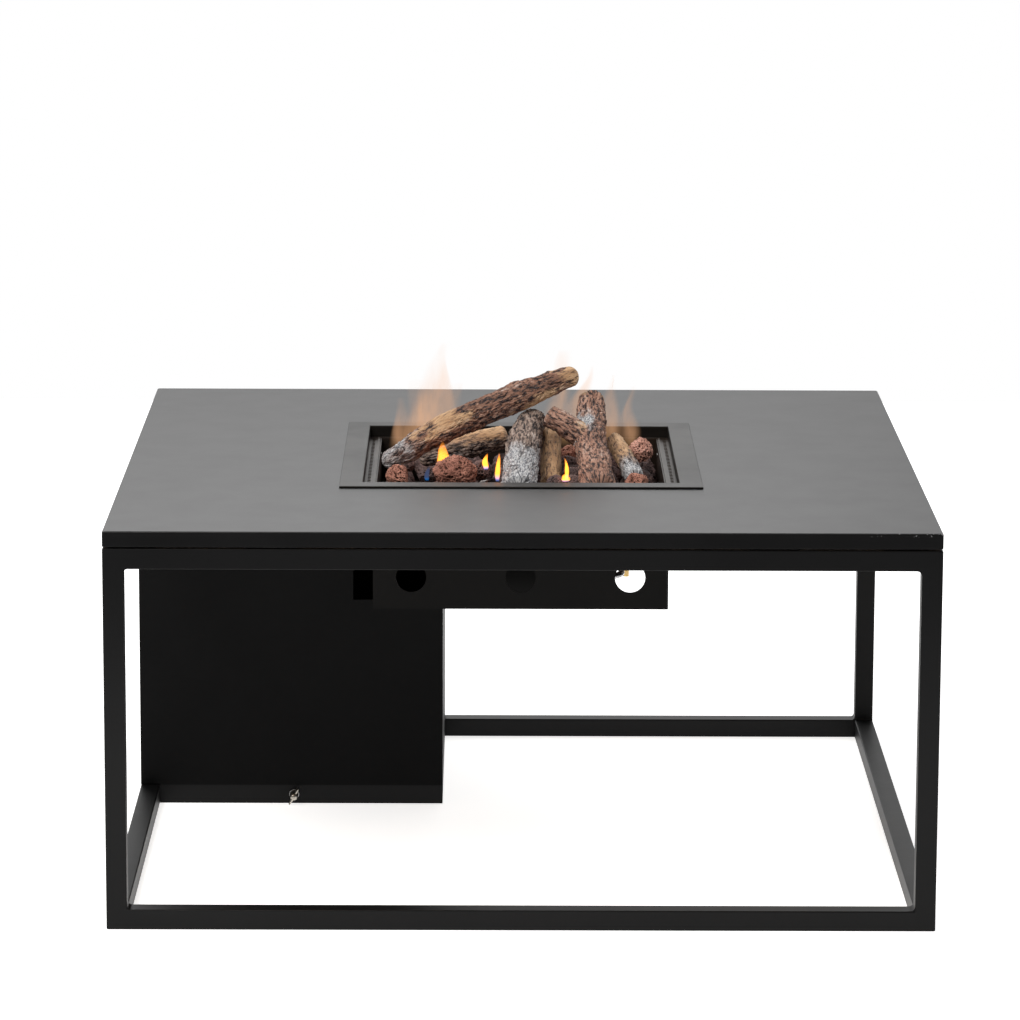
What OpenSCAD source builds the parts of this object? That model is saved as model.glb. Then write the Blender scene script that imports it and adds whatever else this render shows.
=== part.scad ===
// Square gas fire-pit table: a cube frame of square tube, a thin tabletop, a drop-in burner with a
// slotted rim grate, logs and lava stones, and a housing for the gas bottle at the back-left corner.
// The origin is the centre of the footprint on the floor, +Z is up and the front looks along -Y.

/* [Table] */
// Width and depth of the square table
table_side = 1000; // [950:1:1200]
// Height of the table above the floor
table_h = 490; // [480:1:560]
// Thickness of the tabletop
top_t = 19; // [17:1:30]
// Thickness of the sheet that the tabletop pan is folded from
pan_t = 2; // [2:0.5:4]
// Height of the gap between the tabletop and the frame
top_gap = 2; // [1:0.5:4]

/* [Frame] */
// Outer side of the square tube
tube = 25; // [20:1:30]
// Wall of the square tube
tube_wall = 2; // [1.5:0.5:3]
// Radius of the weld fillet in each inner corner
weld_r = 5; // [2:0.5:8]

/* [Burner] */
// Inner side of the burner's opening
opening = 395; // [390:1:400]
// Width of the flange that lies on the tabletop
flange_w = 29; // [20:1:40]
// How far the folded flange stands above the tabletop
flange_t = 2.6; // [1.5:0.1:4]
// Depth of the pressed seat that the flange lies in
seat_depth = 0.3; // [0.2:0.1:1]
// Depth of the slotted rim below the tabletop
rim_drop = 12.5; // [8:0.5:20]
// Thickness of the burner's sheet metal
sheet = 1.5; // [1:0.5:2]
// Outer side of the burner housing
housing_side = 371; // [366:1:374]
// Height of the burner housing's lower edge above the floor
housing_z = 328; // [320:1:335]
// Pitch of the slots in the rim
slot_pitch = 10; // [8:0.5:14]
// Length of one slot
slot_len = 7; // [5:0.5:7.5]
// Width of one slot
slot_w = 4.6; // [3:0.2:5]
// Radius of the round vent holes in the housing
vent_r = 19; // [12:1:22]
// Distance of the outer vent holes from the middle
vent_x = 137.5; // [100:0.5:150]
// Height of the vent holes' centres
vent_z = 368.5; // [350:0.5:390]
// Depth of the fire tray below the rim
tray_depth = 53; // [45:1:60]

/* [Bottle housing] */
// Width of the bottle housing
bay_w = 400; // [350:1:400]
// Depth of the bottle housing
bay_d = 397; // [350:1:397]
// Thickness of its sheet walls
wall_t = 1.5; // [1:0.5:2]
// Width of the notch that clears the burner housing
notch_w = 118; // [110:1:130]
// Height of the notch's lower edge above the floor
notch_z = 277; // [260:1:300]
// How far the door lifts to unhook
door_lift = 22; // [20:1:24]
// Sideways place of the wing screw
wing_x = -297; // [-310:1:-290]
// Radius of the wing screw's wings
wing_r = 12.2; // [10:0.1:12.2]

/* [Controls] */
// Distance of the control knob behind the middle
knob_y = 110; // [105:1:115]
// Height of the control knob's axis
knob_z = 356; // [354:1:360]
// Radius of the control knob
knob_r = 19; // [15:1:20]
// Distance of the igniter behind the middle
igniter_y = 155; // [152:1:158]
// Travel of the igniter button
button_travel = 5; // [3:0.5:5]

/* [Hidden] */
$fn = 48;

half = table_side / 2;
inner = half - tube;
top_under = table_h - top_t;
frame_top = top_under - top_gap;
rail_z = frame_top - tube;
open_h = opening / 2;
wall_out = open_h + sheet;
cut_h = wall_out + 2;
seat_h = open_h + flange_w + 0.5;
seat_z = table_h - seat_depth;
rim_z = table_h - rim_drop;
house_h = housing_side / 2;
house_in = house_h - sheet;
lip_in = house_h - 2;
tray_h = house_in - 0.8;
tray_in = tray_h - sheet;
tray_z = rim_z - tray_depth;
bay_x = -half + bay_w;
bay_y = half - bay_d;
door_y = bay_y - 0.3 - wall_t;
bar_mid = tube / 2;
panel_x = house_h + 2;
ring_r = 75;
ring_z = tray_z + 14;
gas_z = 350;
jet_y = -95;

// A square ring between two half sides, from z0 up to z1.
module square_ring(outer, inner_side, z0, z1) {
    translate([0, 0, z0])
        linear_extrude(z1 - z0)
            difference() {
                square(2 * outer, center = true);
                square(2 * inner_side, center = true);
            }
}

// A box given by its two corners.
module box(a, b) {
    translate(a) cube(b - a);
}

// ---------- Frame ----------

// A leg: square tube, closed at the top and open at the floor.
module leg(sx, sy) {
    x0 = sx < 0 ? -half : inner;
    y0 = sy < 0 ? -half : inner;
    translate([x0, y0, 0])
        difference() {
            cube([tube, tube, frame_top]);
            translate([tube_wall, tube_wall, -1])
                cube([tube - 2 * tube_wall, tube - 2 * tube_wall, frame_top - tube_wall + 1]);
        }
}

// The concave corner of a weld, drawn in the quarter with both coordinates positive.
module weld_corner() {
    difference() {
        square(weld_r);
        translate([weld_r, weld_r]) circle(weld_r);
    }
}

// A tube along +X that starts at the origin, with weld fillets on the face that up points to.
module rail(length, up = 0) {
    difference() {
        cube([length, tube, tube]);
        translate([-1, tube_wall, tube_wall])
            cube([length + 2, tube - 2 * tube_wall, tube - 2 * tube_wall]);
    }
    face = up > 0 ? tube : 0;
    if (up != 0)
        for (side = [0, 1])
            translate([side * length, tube, face])
                mirror([side, 0, 0])
                    mirror([0, 0, up < 0 ? 1 : 0])
                        rotate([90, 0, 0]) linear_extrude(tube) weld_corner();
}

// A rail along one side of the square, at height z.
module side_rail(turn, z, up) {
    rotate([0, 0, turn]) translate([-inner, -half, z]) rail(2 * inner, up);
}

module frame_colour() { color([0.09, 0.09, 0.095]) children(); }

module leg_front_left() { frame_colour() leg(-1, -1); }
module leg_front_right() { frame_colour() leg(1, -1); }
module leg_back_left() { frame_colour() leg(-1, 1); }
module leg_back_right() { frame_colour() leg(1, 1); }
module top_rail_front() { frame_colour() side_rail(0, rail_z, -1); }
module top_rail_right() { frame_colour() side_rail(90, rail_z, -1); }
module top_rail_back() { frame_colour() side_rail(180, rail_z, -1); }
module top_rail_left() { frame_colour() side_rail(270, rail_z, -1); }
module bottom_rail_front() { frame_colour() side_rail(0, 0, 1); }
module bottom_rail_right() { frame_colour() side_rail(90, 0, 1); }
module bottom_rail_back() { frame_colour() side_rail(180, 0, 0); }
module bottom_rail_left() { frame_colour() side_rail(270, 0, 0); }

// The floor-level tube in front of the bottle housing, drilled for the wing screw and its nut.
module base_rail_front() {
    frame_colour()
        difference() {
            translate([-inner, bay_y, 0]) rail(bay_w - tube, 0);
            translate([wing_x, bay_y + tube_wall + 1, bar_mid])
                rotate([90, 0, 0]) cylinder(r = 4.5, h = tube_wall + 2);
            translate([wing_x, bay_y + tube + 1, bar_mid])
                rotate([90, 0, 0]) cylinder(r = 3.4, h = tube_wall + 2);
        }
}

module base_rail_right() {
    frame_colour()
        translate([bay_x, bay_y + tube, 0])
            rotate([0, 0, 90]) rail(inner - bay_y - tube, 0);
}

// ---------- Tabletop ----------

// Folded sheet pan with its skirt, cut out for the burner, with a shallow seat round the cut-out.
module tabletop() {
    color([0.16, 0.16, 0.165])
        difference() {
            union() {
                square_ring(half, cut_h, table_h - pan_t, table_h);
                square_ring(half, half - pan_t, top_under, table_h - pan_t);
            }
            square_ring(seat_h, cut_h - 1, seat_z, table_h + 1);
        }
}

// Board that fills the pan and stiffens it, with pilot holes for the four screws.
module tabletop_core() {
    color([0.45, 0.34, 0.22])
        difference() {
            square_ring(half - pan_t - 0.3, cut_h + 2, top_under, table_h - pan_t);
            at_corners(tab_hole) translate([0, 0, top_under - 1]) cylinder(r = 3.2, h = 14);
        }
}

// Rubber pads that hold the tabletop off the frame.
module spacer_pads() {
    color([0.05, 0.05, 0.05])
        for (turn = [0:90:270])
            for (x = [-300, 0, 300])
                rotate([0, 0, turn])
                    translate([x - 30, -half + 6, frame_top]) cube([60, tube - 9, top_gap]);
}

tab_side = 45;
tab_t = 3;
tab_hole = inner - 15;

// Repeats its children at the four corners, at equal distances from the middle.
module at_corners(d) {
    for (x = [-d, d])
        for (y = [-d, d])
            translate([x, y, 0]) children();
}

// Triangular plates welded into the frame's corners, which carry the tabletop's screws.
module corner_tabs() {
    frame_colour()
        for (turn = [0:90:270])
            rotate([0, 0, turn])
                difference() {
                    translate([-inner, -inner, frame_top - tab_t])
                        linear_extrude(tab_t)
                            polygon([[0, 0], [tab_side, 0], [tab_side, 10], [10, tab_side], [0, tab_side]]);
                    translate([-tab_hole, -tab_hole, frame_top - tab_t - 1])
                        cylinder(r = 3.3, h = tab_t + 2);
                }
}

module top_screws() {
    color([0.7, 0.7, 0.72])
        at_corners(tab_hole)
            difference() {
                union() {
                    translate([0, 0, frame_top - tab_t - 4]) cylinder(r = 5.5, h = 4);
                    translate([0, 0, frame_top - tab_t - 1]) cylinder(r = 3, h = 16);
                }
                translate([0, 0, frame_top - tab_t - 5]) cylinder(r = 2.3, h = 3, $fn = 6);
            }
}

// ---------- Burner ----------

module burner_colour() { color([0.13, 0.12, 0.115]) children(); }

// The flange on the tabletop and the wall that drops from it to the rim.
module burner_flange() {
    burner_colour()
        union() {
            square_ring(open_h + flange_w, open_h, seat_z, table_h + flange_t);
            square_ring(wall_out, open_h, rim_z, seat_z);
        }
}

// One obround slot along X, as a flat shape.
module slot_shape() {
    straight = slot_len - slot_w;
    square([straight, slot_w], center = true);
    for (side = [-1, 1])
        translate([side * straight / 2, 0]) circle(slot_w / 2, $fn = 20);
}

// The rim grate: a ledge with a row of slots on each side and a raised lip along its inner edge.
module slotted_rim() {
    mid = (open_h + house_h + 1) / 2;
    reach = floor((house_h - 4) / slot_pitch) * slot_pitch;
    burner_colour()
        union() {
            translate([0, 0, rim_z - sheet])
                linear_extrude(sheet)
                    difference() {
                        square(2 * wall_out, center = true);
                        square(2 * lip_in, center = true);
                        for (turn = [0:90:270])
                            for (s = [-reach:slot_pitch:reach])
                                rotate(turn) translate([s, -mid]) slot_shape();
                    }
            square_ring(house_h + 1, lip_in, rim_z, rim_z + 2);
        }
}

// The tray that holds the burner, the logs and the stones.
module fire_tray() {
    burner_colour()
        difference() {
            union() {
                square_ring(tray_h, tray_in, tray_z, rim_z + 1);
                box([-tray_h, -tray_h, tray_z - sheet], [tray_h, tray_h, tray_z]);
            }
            translate([0, 0, tray_z - 5]) cylinder(r = 10.2, h = 10);
            for (x = [-60, 60])
                translate([x, 105, tray_z - 5]) cylinder(r = 3.7, h = 10);
            tray_rivet_places() translate([0, 0, -10]) cylinder(r = 2.1, h = 20);
        }
}

tray_rivet_z = rim_z - 9;
bracket_rivet_z = 436;

// Two places on each side, on the housing wall, with Z pointing outwards.
module tray_rivet_places() {
    for (turn = [0:90:270])
        for (x = [-120, 120])
            rotate([0, 0, turn]) translate([x, -house_h, tray_rivet_z]) rotate([90, 0, 0]) children();
}

// One place on each side for the clamp bracket's rivet.
module bracket_rivet_places() {
    for (turn = [0:90:270])
        rotate([0, 0, turn]) translate([0, -house_h, bracket_rivet_z]) rotate([90, 0, 0]) children();
}

// One wall of the skirt; it stops just short of the next wall's inner face.
module housing_wall() {
    box([-house_h, -house_h, housing_z], [house_in - 0.1, -house_in, rim_z - sheet]);
}

// The skirt that hangs below the tabletop round the gas parts, open below and vented on every side.
// Its four sheets meet edge to edge at the corners, where they are tacked.
module burner_housing() {
    burner_colour()
        difference() {
            for (turn = [0:90:270])
                rotate([0, 0, turn]) housing_wall();
            for (turn = [0, 180, 270])
                for (x = [-vent_x, 0, vent_x])
                    vent(turn, x);
            for (x = [-vent_x, 0])
                vent(90, x);
            tray_rivet_places() translate([0, 0, -10]) cylinder(r = 2.1, h = 20);
            bracket_rivet_places() translate([0, 0, -10]) cylinder(r = 2.1, h = 20);
            along_x(house_h - 5, knob_y, knob_z) cylinder(r = 10.5, h = 10);
            along_x(house_h - 5, igniter_y, knob_z) cylinder(r = 9.3, h = 10);
            plate_screw_places() translate([0, 0, -10]) cylinder(r = 1.6, h = 20);
        }
}

module vent(turn, x) {
    rotate([0, 0, turn])
        translate([x, -house_h + 5, vent_z]) rotate([90, 0, 0]) cylinder(r = vent_r, h = 10);
}

// Puts its children at a point with their Z along +X.
module along_x(x, y, z) {
    translate([x, y, z]) rotate([0, 90, 0]) children();
}

// Hollow ring burner with ports, its cross pipe and the hub that the gas mixture enters by.
module burner_ring() {
    color([0.55, 0.53, 0.5])
        difference() {
            union() {
                translate([0, 0, ring_z]) rotate_extrude() translate([ring_r, 0]) circle(8);
                along_x(-ring_r + 3, 0, ring_z) cylinder(r = 6, h = 2 * ring_r - 6);
                translate([0, 0, tray_z + 2]) cylinder(r = 14, h = 20);
            }
            translate([0, 0, ring_z]) rotate_extrude() translate([ring_r, 0]) circle(6.5);
            along_x(-ring_r, 0, ring_z) cylinder(r = 4.5, h = 2 * ring_r);
            translate([0, 0, tray_z + 1]) cylinder(r = 8, h = 17);
            for (turn = [15:30:345])
                rotate([0, 0, turn]) translate([ring_r, 0, ring_z]) cylinder(r = 1.2, h = 10);
        }
}

// The cast elbow that mixes gas with air on its way up to the ring.
module mixer_tube() {
    mouth = jet_y + 11;
    block = 12;
    color([0.6, 0.6, 0.62])
        difference() {
            union() {
                box([-block, -block, gas_z - block], [block, block, gas_z + block]);
                translate([0, 1 - block, gas_z])
                    rotate([90, 0, 0]) cylinder(r = 10, h = 1 - block - mouth);
                translate([0, 0, gas_z + block - 1]) cylinder(r = 10, h = tray_z + 3 - gas_z - block);
                translate([0, 0, tray_z - sheet - 2]) cylinder(r = 15, h = 2);
            }
            translate([0, 2, gas_z]) rotate([90, 0, 0]) cylinder(r = 8, h = 3 - mouth);
            translate([0, 0, gas_z]) cylinder(r = 7.4, h = tray_z + 5 - gas_z);
            along_x(-15, mouth + 13, gas_z) cylinder(r = 4.5, h = 30);
        }
}

// Bent plate under the tray that carries the jet holder and shields it from draughts.
module jet_bracket() {
    under = tray_z - sheet;
    back = jet_y - 9;
    burner_colour()
        union() {
            box([-24, back - sheet, housing_z + 2], [24, back, under]);
            box([-24, back - sheet, under - sheet], [24, back + 14, under]);
        }
}

// Brass block with the jet, its spigot in the mixer's mouth.
module jet_holder() {
    color([0.78, 0.62, 0.3])
        difference() {
            union() {
                box([-9, jet_y - 9, gas_z - 9], [9, jet_y + 9, gas_z + 9]);
                translate([0, jet_y + 17, gas_z]) rotate([90, 0, 0]) cylinder(r = 7.9, h = 9);
                along_x(8, jet_y, gas_z) cylinder(r = 7, h = 9, $fn = 6);
            }
            translate([0, jet_y + 20, gas_z]) rotate([90, 0, 0]) cylinder(r = 1.5, h = 20);
            along_x(0, jet_y, gas_z) cylinder(r = 4.05, h = 20);
        }
}

// Aluminium pipe from the valve forward, then across to the jet.
module supply_pipe() {
    color([0.75, 0.75, 0.77])
        difference() {
            supply_path(4);
            supply_path(2.8, 1);
        }
}

pipe_x = 130;
pipe_bend = 30;

module supply_path(r, over = 0) {
    translate([pipe_x, knob_y - 18 + over, gas_z])
        rotate([90, 0, 0]) cylinder(r = r, h = knob_y - 18 + over - jet_y - pipe_bend + 0.01);
    translate([pipe_x - pipe_bend, jet_y + pipe_bend, gas_z])
        rotate([0, 0, 270]) rotate_extrude(angle = 90) translate([pipe_bend, 0]) circle(r);
    along_x(4 - over, jet_y, gas_z)
        cylinder(r = r, h = pipe_x - pipe_bend - 4 + over + 0.01);
}

valve_z = knob_z - 18;
inlet_x = 141;
inlet_z = valve_z - 8;
inlet_len = 22;

// Gas valve: a cast body, and a threaded boss through the housing wall.
module gas_valve() {
    color([0.72, 0.6, 0.34])
        difference() {
            union() {
                box([122, knob_y - 18, valve_z], [160, knob_y + 18, knob_z + 18]);
                along_x(159, knob_y, knob_z) cylinder(r = 10, h = panel_x + 7 - 159);
            }
            along_x(146, knob_y, knob_z) cylinder(r = 4.05, h = 70);
        }
}

module valve_nut() {
    color([0.75, 0.75, 0.77])
        along_x(panel_x, knob_y, knob_z)
            difference() {
                cylinder(r = 14, h = 5, $fn = 6);
                translate([0, 0, -1]) cylinder(r = 10.05, h = 10);
            }
}

module valve_stem() {
    color([0.75, 0.75, 0.77])
        along_x(148, knob_y, knob_z) cylinder(r = 4, h = panel_x + 20 - 148);
}

// Knob with a grip bar across its face, fluted round its side.
module control_knob() {
    x0 = panel_x + 8;
    color([0.06, 0.06, 0.06])
        difference() {
            union() {
                along_x(x0, knob_y, knob_z) cylinder(r = knob_r, h = 11);
                along_x(x0 + 10, knob_y, knob_z)
                    intersection() {
                        cylinder(r = knob_r - 2, h = 10);
                        translate([-knob_r, -4.5, 0]) cube([2 * knob_r, 9, 10]);
                    }
            }
            along_x(x0 - 1, knob_y, knob_z) cylinder(r = 4.05, h = 15);
            for (turn = [15:30:345])
                along_x(x0 - 1, knob_y, knob_z)
                    rotate([0, 0, turn]) translate([knob_r + 1, 0, 0]) cylinder(r = 2, h = 10, $fn = 16);
        }
}

plate_y0 = 84;
plate_y1 = 178;
plate_half = 22;

// Four places at the control plate's corners, with Z pointing outwards.
module plate_screw_places() {
    for (y = [plate_y0 + 5, plate_y1 - 5])
        for (z = [-plate_half + 5, plate_half - 5])
            along_x(panel_x, y, knob_z + z) children();
}

module control_plate() {
    color([0.5, 0.5, 0.52])
        difference() {
            box([house_h, plate_y0, knob_z - plate_half], [panel_x, plate_y1, knob_z + plate_half]);
            along_x(house_h - 5, knob_y, knob_z) cylinder(r = 10.05, h = 10);
            along_x(house_h - 5, igniter_y, knob_z) cylinder(r = 9.05, h = 10);
            plate_screw_places() translate([0, 0, -10]) cylinder(r = 1.6, h = 20);
        }
}

module plate_screws() {
    color([0.75, 0.75, 0.77])
        plate_screw_places()
            union() {
                cylinder(r = 3, h = 2);
                translate([0, 0, -8]) cylinder(r = 1.5, h = 9);
            }
}

// Piezo igniter: a tube through the wall with a collar, bored for its button.
module igniter_body() {
    color([0.08, 0.08, 0.08])
        difference() {
            union() {
                along_x(150, igniter_y, knob_z) cylinder(r = 9, h = panel_x - 150 + 1);
                along_x(panel_x, igniter_y, knob_z) cylinder(r = 12, h = 3);
            }
            along_x(162, igniter_y, knob_z) cylinder(r = 6.05, h = 50);
        }
}

module igniter_button() {
    color([0.55, 0.05, 0.04])
        union() {
            along_x(170, igniter_y, knob_z) cylinder(r = 6, h = panel_x + 10 - 170);
            along_x(panel_x + 3 + button_travel + 0.5, igniter_y, knob_z) cylinder(r = 8, h = 3);
        }
}

// Ceramic rod through the tray with its spark tip above.
module spark_electrode() {
    color([0.9, 0.88, 0.84])
        translate([-60, 105, 0])
            union() {
                translate([0, 0, tray_z - 25]) cylinder(r = 3.5, h = 40);
                translate([0, 0, tray_z - 27]) cylinder(r = 1, h = 56);
            }
}

module thermocouple() {
    color([0.7, 0.5, 0.35])
        translate([60, 105, 0])
            union() {
                translate([0, 0, tray_z - 25]) cylinder(r = 3.5, h = 36);
                translate([0, 0, tray_z + 10]) cylinder(r = 2.4, h = 17);
                translate([0, 0, tray_z + 27]) sphere(2.4);
            }
}

// Pipe stub under the valve for the gas hose's union, with a hex foot.
module gas_inlet() {
    color([0.78, 0.62, 0.3])
        translate([inlet_x, knob_y, inlet_z])
            difference() {
                union() {
                    cylinder(r = 8, h = valve_z - inlet_z, $fn = 6);
                    translate([0, 0, -inlet_len]) cylinder(r = 4, h = inlet_len + 1);
                }
                translate([0, 0, -inlet_len - 1]) cylinder(r = 2.5, h = inlet_len + 6);
            }
}

bracket_foot = 32;
foot_z = 456;

// Angle brackets riveted to the housing, one on each side, which clamp the burner in the tabletop.
module clamp_brackets() {
    burner_colour()
        for (turn = [0:90:270])
            rotate([0, 0, turn])
                difference() {
                    union() {
                        box([-15, -house_h - 2, 426], [15, -house_h, foot_z + 2]);
                        box([-15, -house_h - bracket_foot, foot_z], [15, -house_h - 2, foot_z + 2]);
                    }
                    translate([0, -house_h + 5, bracket_rivet_z])
                        rotate([90, 0, 0]) cylinder(r = 2.1, h = 10);
                    translate([0, -house_h - bracket_foot + 9, foot_z - 1]) cylinder(r = 2.6, h = 5);
                }
}

module clamp_screws() {
    color([0.7, 0.7, 0.72])
        for (turn = [0:90:270])
            rotate([0, 0, turn])
                translate([0, -house_h - bracket_foot + 9, 0])
                    union() {
                        translate([0, 0, foot_z - 4]) cylinder(r = 5, h = 4, $fn = 6);
                        translate([0, 0, foot_z - 1]) cylinder(r = 2.5, h = top_under - foot_z + 1);
                    }
}

// Blind rivets: eight through the housing and the tray, four through the housing and the brackets.
module housing_rivets() {
    color([0.6, 0.6, 0.62]) {
        tray_rivet_places() rivet(0, 5);
        bracket_rivet_places() rivet(2, 2);
    }
}

// A rivet whose head sits out from the wall's face by lift and whose shank goes depth behind it.
module rivet(lift, depth) {
    translate([0, 0, lift]) cylinder(r = 4, h = 1.2);
    translate([0, 0, -depth]) cylinder(r = 2, h = depth + lift + 0.5);
}

// ---------- Bottle housing ----------

module housing_colour() { color([0.07, 0.07, 0.075]) children(); }

bay_top = rail_z - 0.2;
wall_z = tube + 0.2;
seat_w = 12;

// Floor plate on the bottom tubes, with vent slots and room for the door's hook.
module bottle_floor() {
    housing_colour()
        difference() {
            box([-half + wall_t + 0.2, bay_y + wall_t + 0.5, tube],
                [bay_x - wall_t - 0.2, half - wall_t - 0.2, tube + 2]);
            box([-half, inner - 0.2, tube - 1], [-inner + 0.2, half, tube + 3]);
            box([wing_x - 26, bay_y, tube - 1], [wing_x + 26, bay_y + tube + 10, tube + 3]);
            for (x = [-380:40:-180])
                translate([x, (bay_y + half) / 2, tube - 1])
                    linear_extrude(4) square([8, 140], center = true);
        }
}

// Left wall with a flange that the door closes on, and a corner cut off for the frame's weld.
module left_wall() {
    housing_colour()
        difference() {
            union() {
                box([-half, bay_y + 0.3, wall_z], [-half + wall_t, inner - 0.2, bay_top]);
                box([-half + wall_t, bay_y + 0.3, tube + 2.2],
                    [-half + wall_t + seat_w, bay_y + 0.3 + wall_t, bay_top]);
            }
            box([-half - 1, inner - weld_r, bay_top - weld_r], [-half + wall_t + 1, inner, bay_top + 1]);
        }
}

module back_wall() {
    housing_colour()
        difference() {
            box([-inner + 0.2, half - wall_t, wall_z], [bay_x, half, bay_top]);
            box([-inner, half - wall_t - 1, bay_top - weld_r], [weld_r - inner, half + 1, bay_top + 1]);
        }
}

// Right wall, notched where the burner housing reaches over the bottle housing.
module right_wall() {
    back_edge = half - wall_t - 0.2;
    notch_y = house_h + 36;
    housing_colour()
        union() {
            box([bay_x - wall_t, bay_y + 0.3, wall_z], [bay_x, back_edge, notch_z]);
            box([bay_x - wall_t, notch_y, notch_z - 1], [bay_x, back_edge, bay_top]);
            box([bay_x - wall_t - seat_w, bay_y + 0.3, tube + 2.2],
                [bay_x - wall_t, bay_y + 0.3 + wall_t, notch_z]);
        }
}

hook_w = 20;
hook_y = bay_y + tube + 0.8;

door_z = tube + 0.3;
hook_z = 4;
hook_tab = 30;

// Lift-off door: an L-shaped sheet, with a corner cut off so that it can rise past the side rail.
module bottle_door() {
    y1 = door_y + wall_t;
    housing_colour()
        difference() {
            union() {
                box([-half, door_y, door_z], [bay_x, y1, notch_z]);
                box([-half, door_y, notch_z - 1], [bay_x - notch_w, y1, bay_top - 0.1]);
            }
            box([-half - 1, door_y - 1, rail_z - door_lift - 0.5], [0.5 - inner, y1 + 1, rail_z]);
        }
}

// Bent hook, spot-welded to the back of the door, that hangs behind the floor-level tube.
module door_hook() {
    x0 = wing_x - hook_w;
    x1 = wing_x + hook_w;
    y0 = door_y + wall_t;
    y1 = hook_y + wall_t;
    housing_colour()
        union() {
            box([x0, y0, door_z], [x1, y0 + wall_t, door_z + hook_tab]);
            box([x0, y0, door_z], [x1, y1, door_z + wall_t]);
            box([x0, hook_y, hook_z], [x1, y1, door_z + wall_t]);
        }
}

// Threaded insert in the front of the floor-level tube.
module rivet_nut() {
    color([0.7, 0.7, 0.72])
        translate([wing_x, bay_y, bar_mid])
            rotate([-90, 0, 0])
                difference() {
                    union() {
                        translate([0, 0, -1.2]) cylinder(r = 6.5, h = 1.2);
                        translate([0, 0, -0.5]) cylinder(r = 4.45, h = 13);
                    }
                    translate([0, 0, -5]) cylinder(r = 3.05, h = 25);
                }
}

// Wing screw that presses on the door's hook from inside the tube.
module wing_screw() {
    color([0.72, 0.7, 0.66])
        translate([wing_x, bay_y, bar_mid])
            rotate([-90, 0, 0])
                union() {
                    translate([0, 0, -17]) cylinder(r = 3, h = 17 + tube + 0.3);
                    translate([0, 0, -17]) cylinder(r1 = 4.6, r2 = 6, h = 15.4);
                    for (turn = [0, 180])
                        rotate([0, 0, turn - 60]) wing();
                }
}

// One wing, a flat lobe that flares forward from the boss.
module wing() {
    hull() {
        translate([4, 0, -8]) rotate([90, 0, 0]) cylinder(r = 4, h = 2.6, center = true, $fn = 32);
        translate([wing_r - 3.5, 0, -16]) rotate([90, 0, 0])
            cylinder(r = 3.4, h = 2.4, center = true, $fn = 32);
    }
}

// ---------- Logs and stones ----------

// Each log is a run of [point, radius] pairs.
log_long_run = [[[-164, -62, 496], 14], [[-93, -38, 535], 19], [[5, -4, 572], 21], [[62, 15, 590], 14]];
log_upright_run = [[[-3, -140, 478], 24], [[6, -30, 525], 22], [[15, 0, 531.5], 17]];
log_trunk_run = [[[97, -138, 480], 24], [[89, -45, 514], 21], [[91, 28, 550], 18]];
log_branch_run = [[[80, -35, 522], 19], [[45, -24, 541], 14]];
log_back_run = [[[-118, 58, 481], 16], [[-31, 72, 498], 17]];
log_short_run = [[[124, 10, 503], 12.5], [[144, -78, 480], 13]];
log_middle_run = [[[39, -70, 472], 14], [[40, 28, 520], 13]];
log_runs = [
    log_long_run, log_upright_run, log_trunk_run, log_branch_run,
    log_back_run, log_short_run, log_middle_run
];

// Stones that lie on top of the bed: centre and half sizes.
top_stones = [
    [[-154, -130, 487], [16, 15, 15]],
    [[-85, -128, 490], [30, 19, 24]],
    [[-50, -92, 487], [20, 14, 14]],
    [[-117, -98, 482], [14, 13, 13]],
    [[46, -138, 478], [15, 13, 13]],
    [[145, -137, 479], [17, 14, 15]],
    [[155, 22, 492], [17, 17, 17]],
    [[70, 88, 474], [17, 16, 15]],
    [[-150, 10, 480], [17, 16, 15]],
    [[140, 62, 478], [18, 16, 15]],
    [[10, 60, 470], [15, 14, 13]]
];

module run_shape(run) {
    for (i = [0:len(run) - 2])
        hull() {
            translate(run[i][0]) sphere(run[i][1], $fn = 20);
            translate(run[i + 1][0]) sphere(run[i + 1][1], $fn = 20);
        }
}

module bark_colour() { color([0.36, 0.24, 0.17]) children(); }

module log_long() { bark_colour() run_shape(log_long_run); }
module log_upright() { bark_colour() run_shape(log_upright_run); }
module log_forked() {
    bark_colour()
        union() {
            run_shape(log_trunk_run);
            run_shape(log_branch_run);
        }
}
module log_back() { bark_colour() run_shape(log_back_run); }
module log_short() { bark_colour() run_shape(log_short_run); }
module log_middle() { bark_colour() run_shape(log_middle_run); }

// A stone as a lumpy ball with three half sizes.
module stone(centre, sizes) {
    translate(centre) scale(sizes) sphere(1, $fn = 9);
}

bed_pitch = 48;
bed_r = 20;

// Distance from point p to the stretch from a to b.
function stretch_gap(p, a, b) =
    let (ab = b - a, t = min(1, max(0, (p - a) * ab / (ab * ab))))
    norm(p - a - t * ab);

// Whether a ball at p with radius r stays clear of one log.
function clear_of_log(p, r, run) =
    min([for (i = [0:len(run) - 2])
        stretch_gap(p, run[i][0], run[i + 1][0]) - max(run[i][1], run[i + 1][1])]) > r + 0.5;

function clear_of_logs(p, r) = min([for (run = log_runs) clear_of_log(p, r, run) ? 1 : 0]) > 0;

function clear_of_stones(p, r) =
    min([for (s = top_stones) norm(p - s[0]) - max(s[1])]) > r + 0.5;

// A layer of stones on the tray's floor, outside the burner ring.
module lava_bed() {
    color([0.4, 0.2, 0.16])
        for (i = [-3:3])
            for (j = [-3:3])
                let (p = [i * bed_pitch, j * bed_pitch, tray_z + bed_r])
                if (max(abs(i), abs(j)) > 2 && clear_of_logs(p, bed_r) && clear_of_stones(p, bed_r))
                    stone(p, [1, 0.9, 0.97] * bed_r);
}

module lava_stones() {
    color([0.45, 0.22, 0.18])
        for (s = top_stones)
            stone(s[0], s[1]);
}

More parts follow.
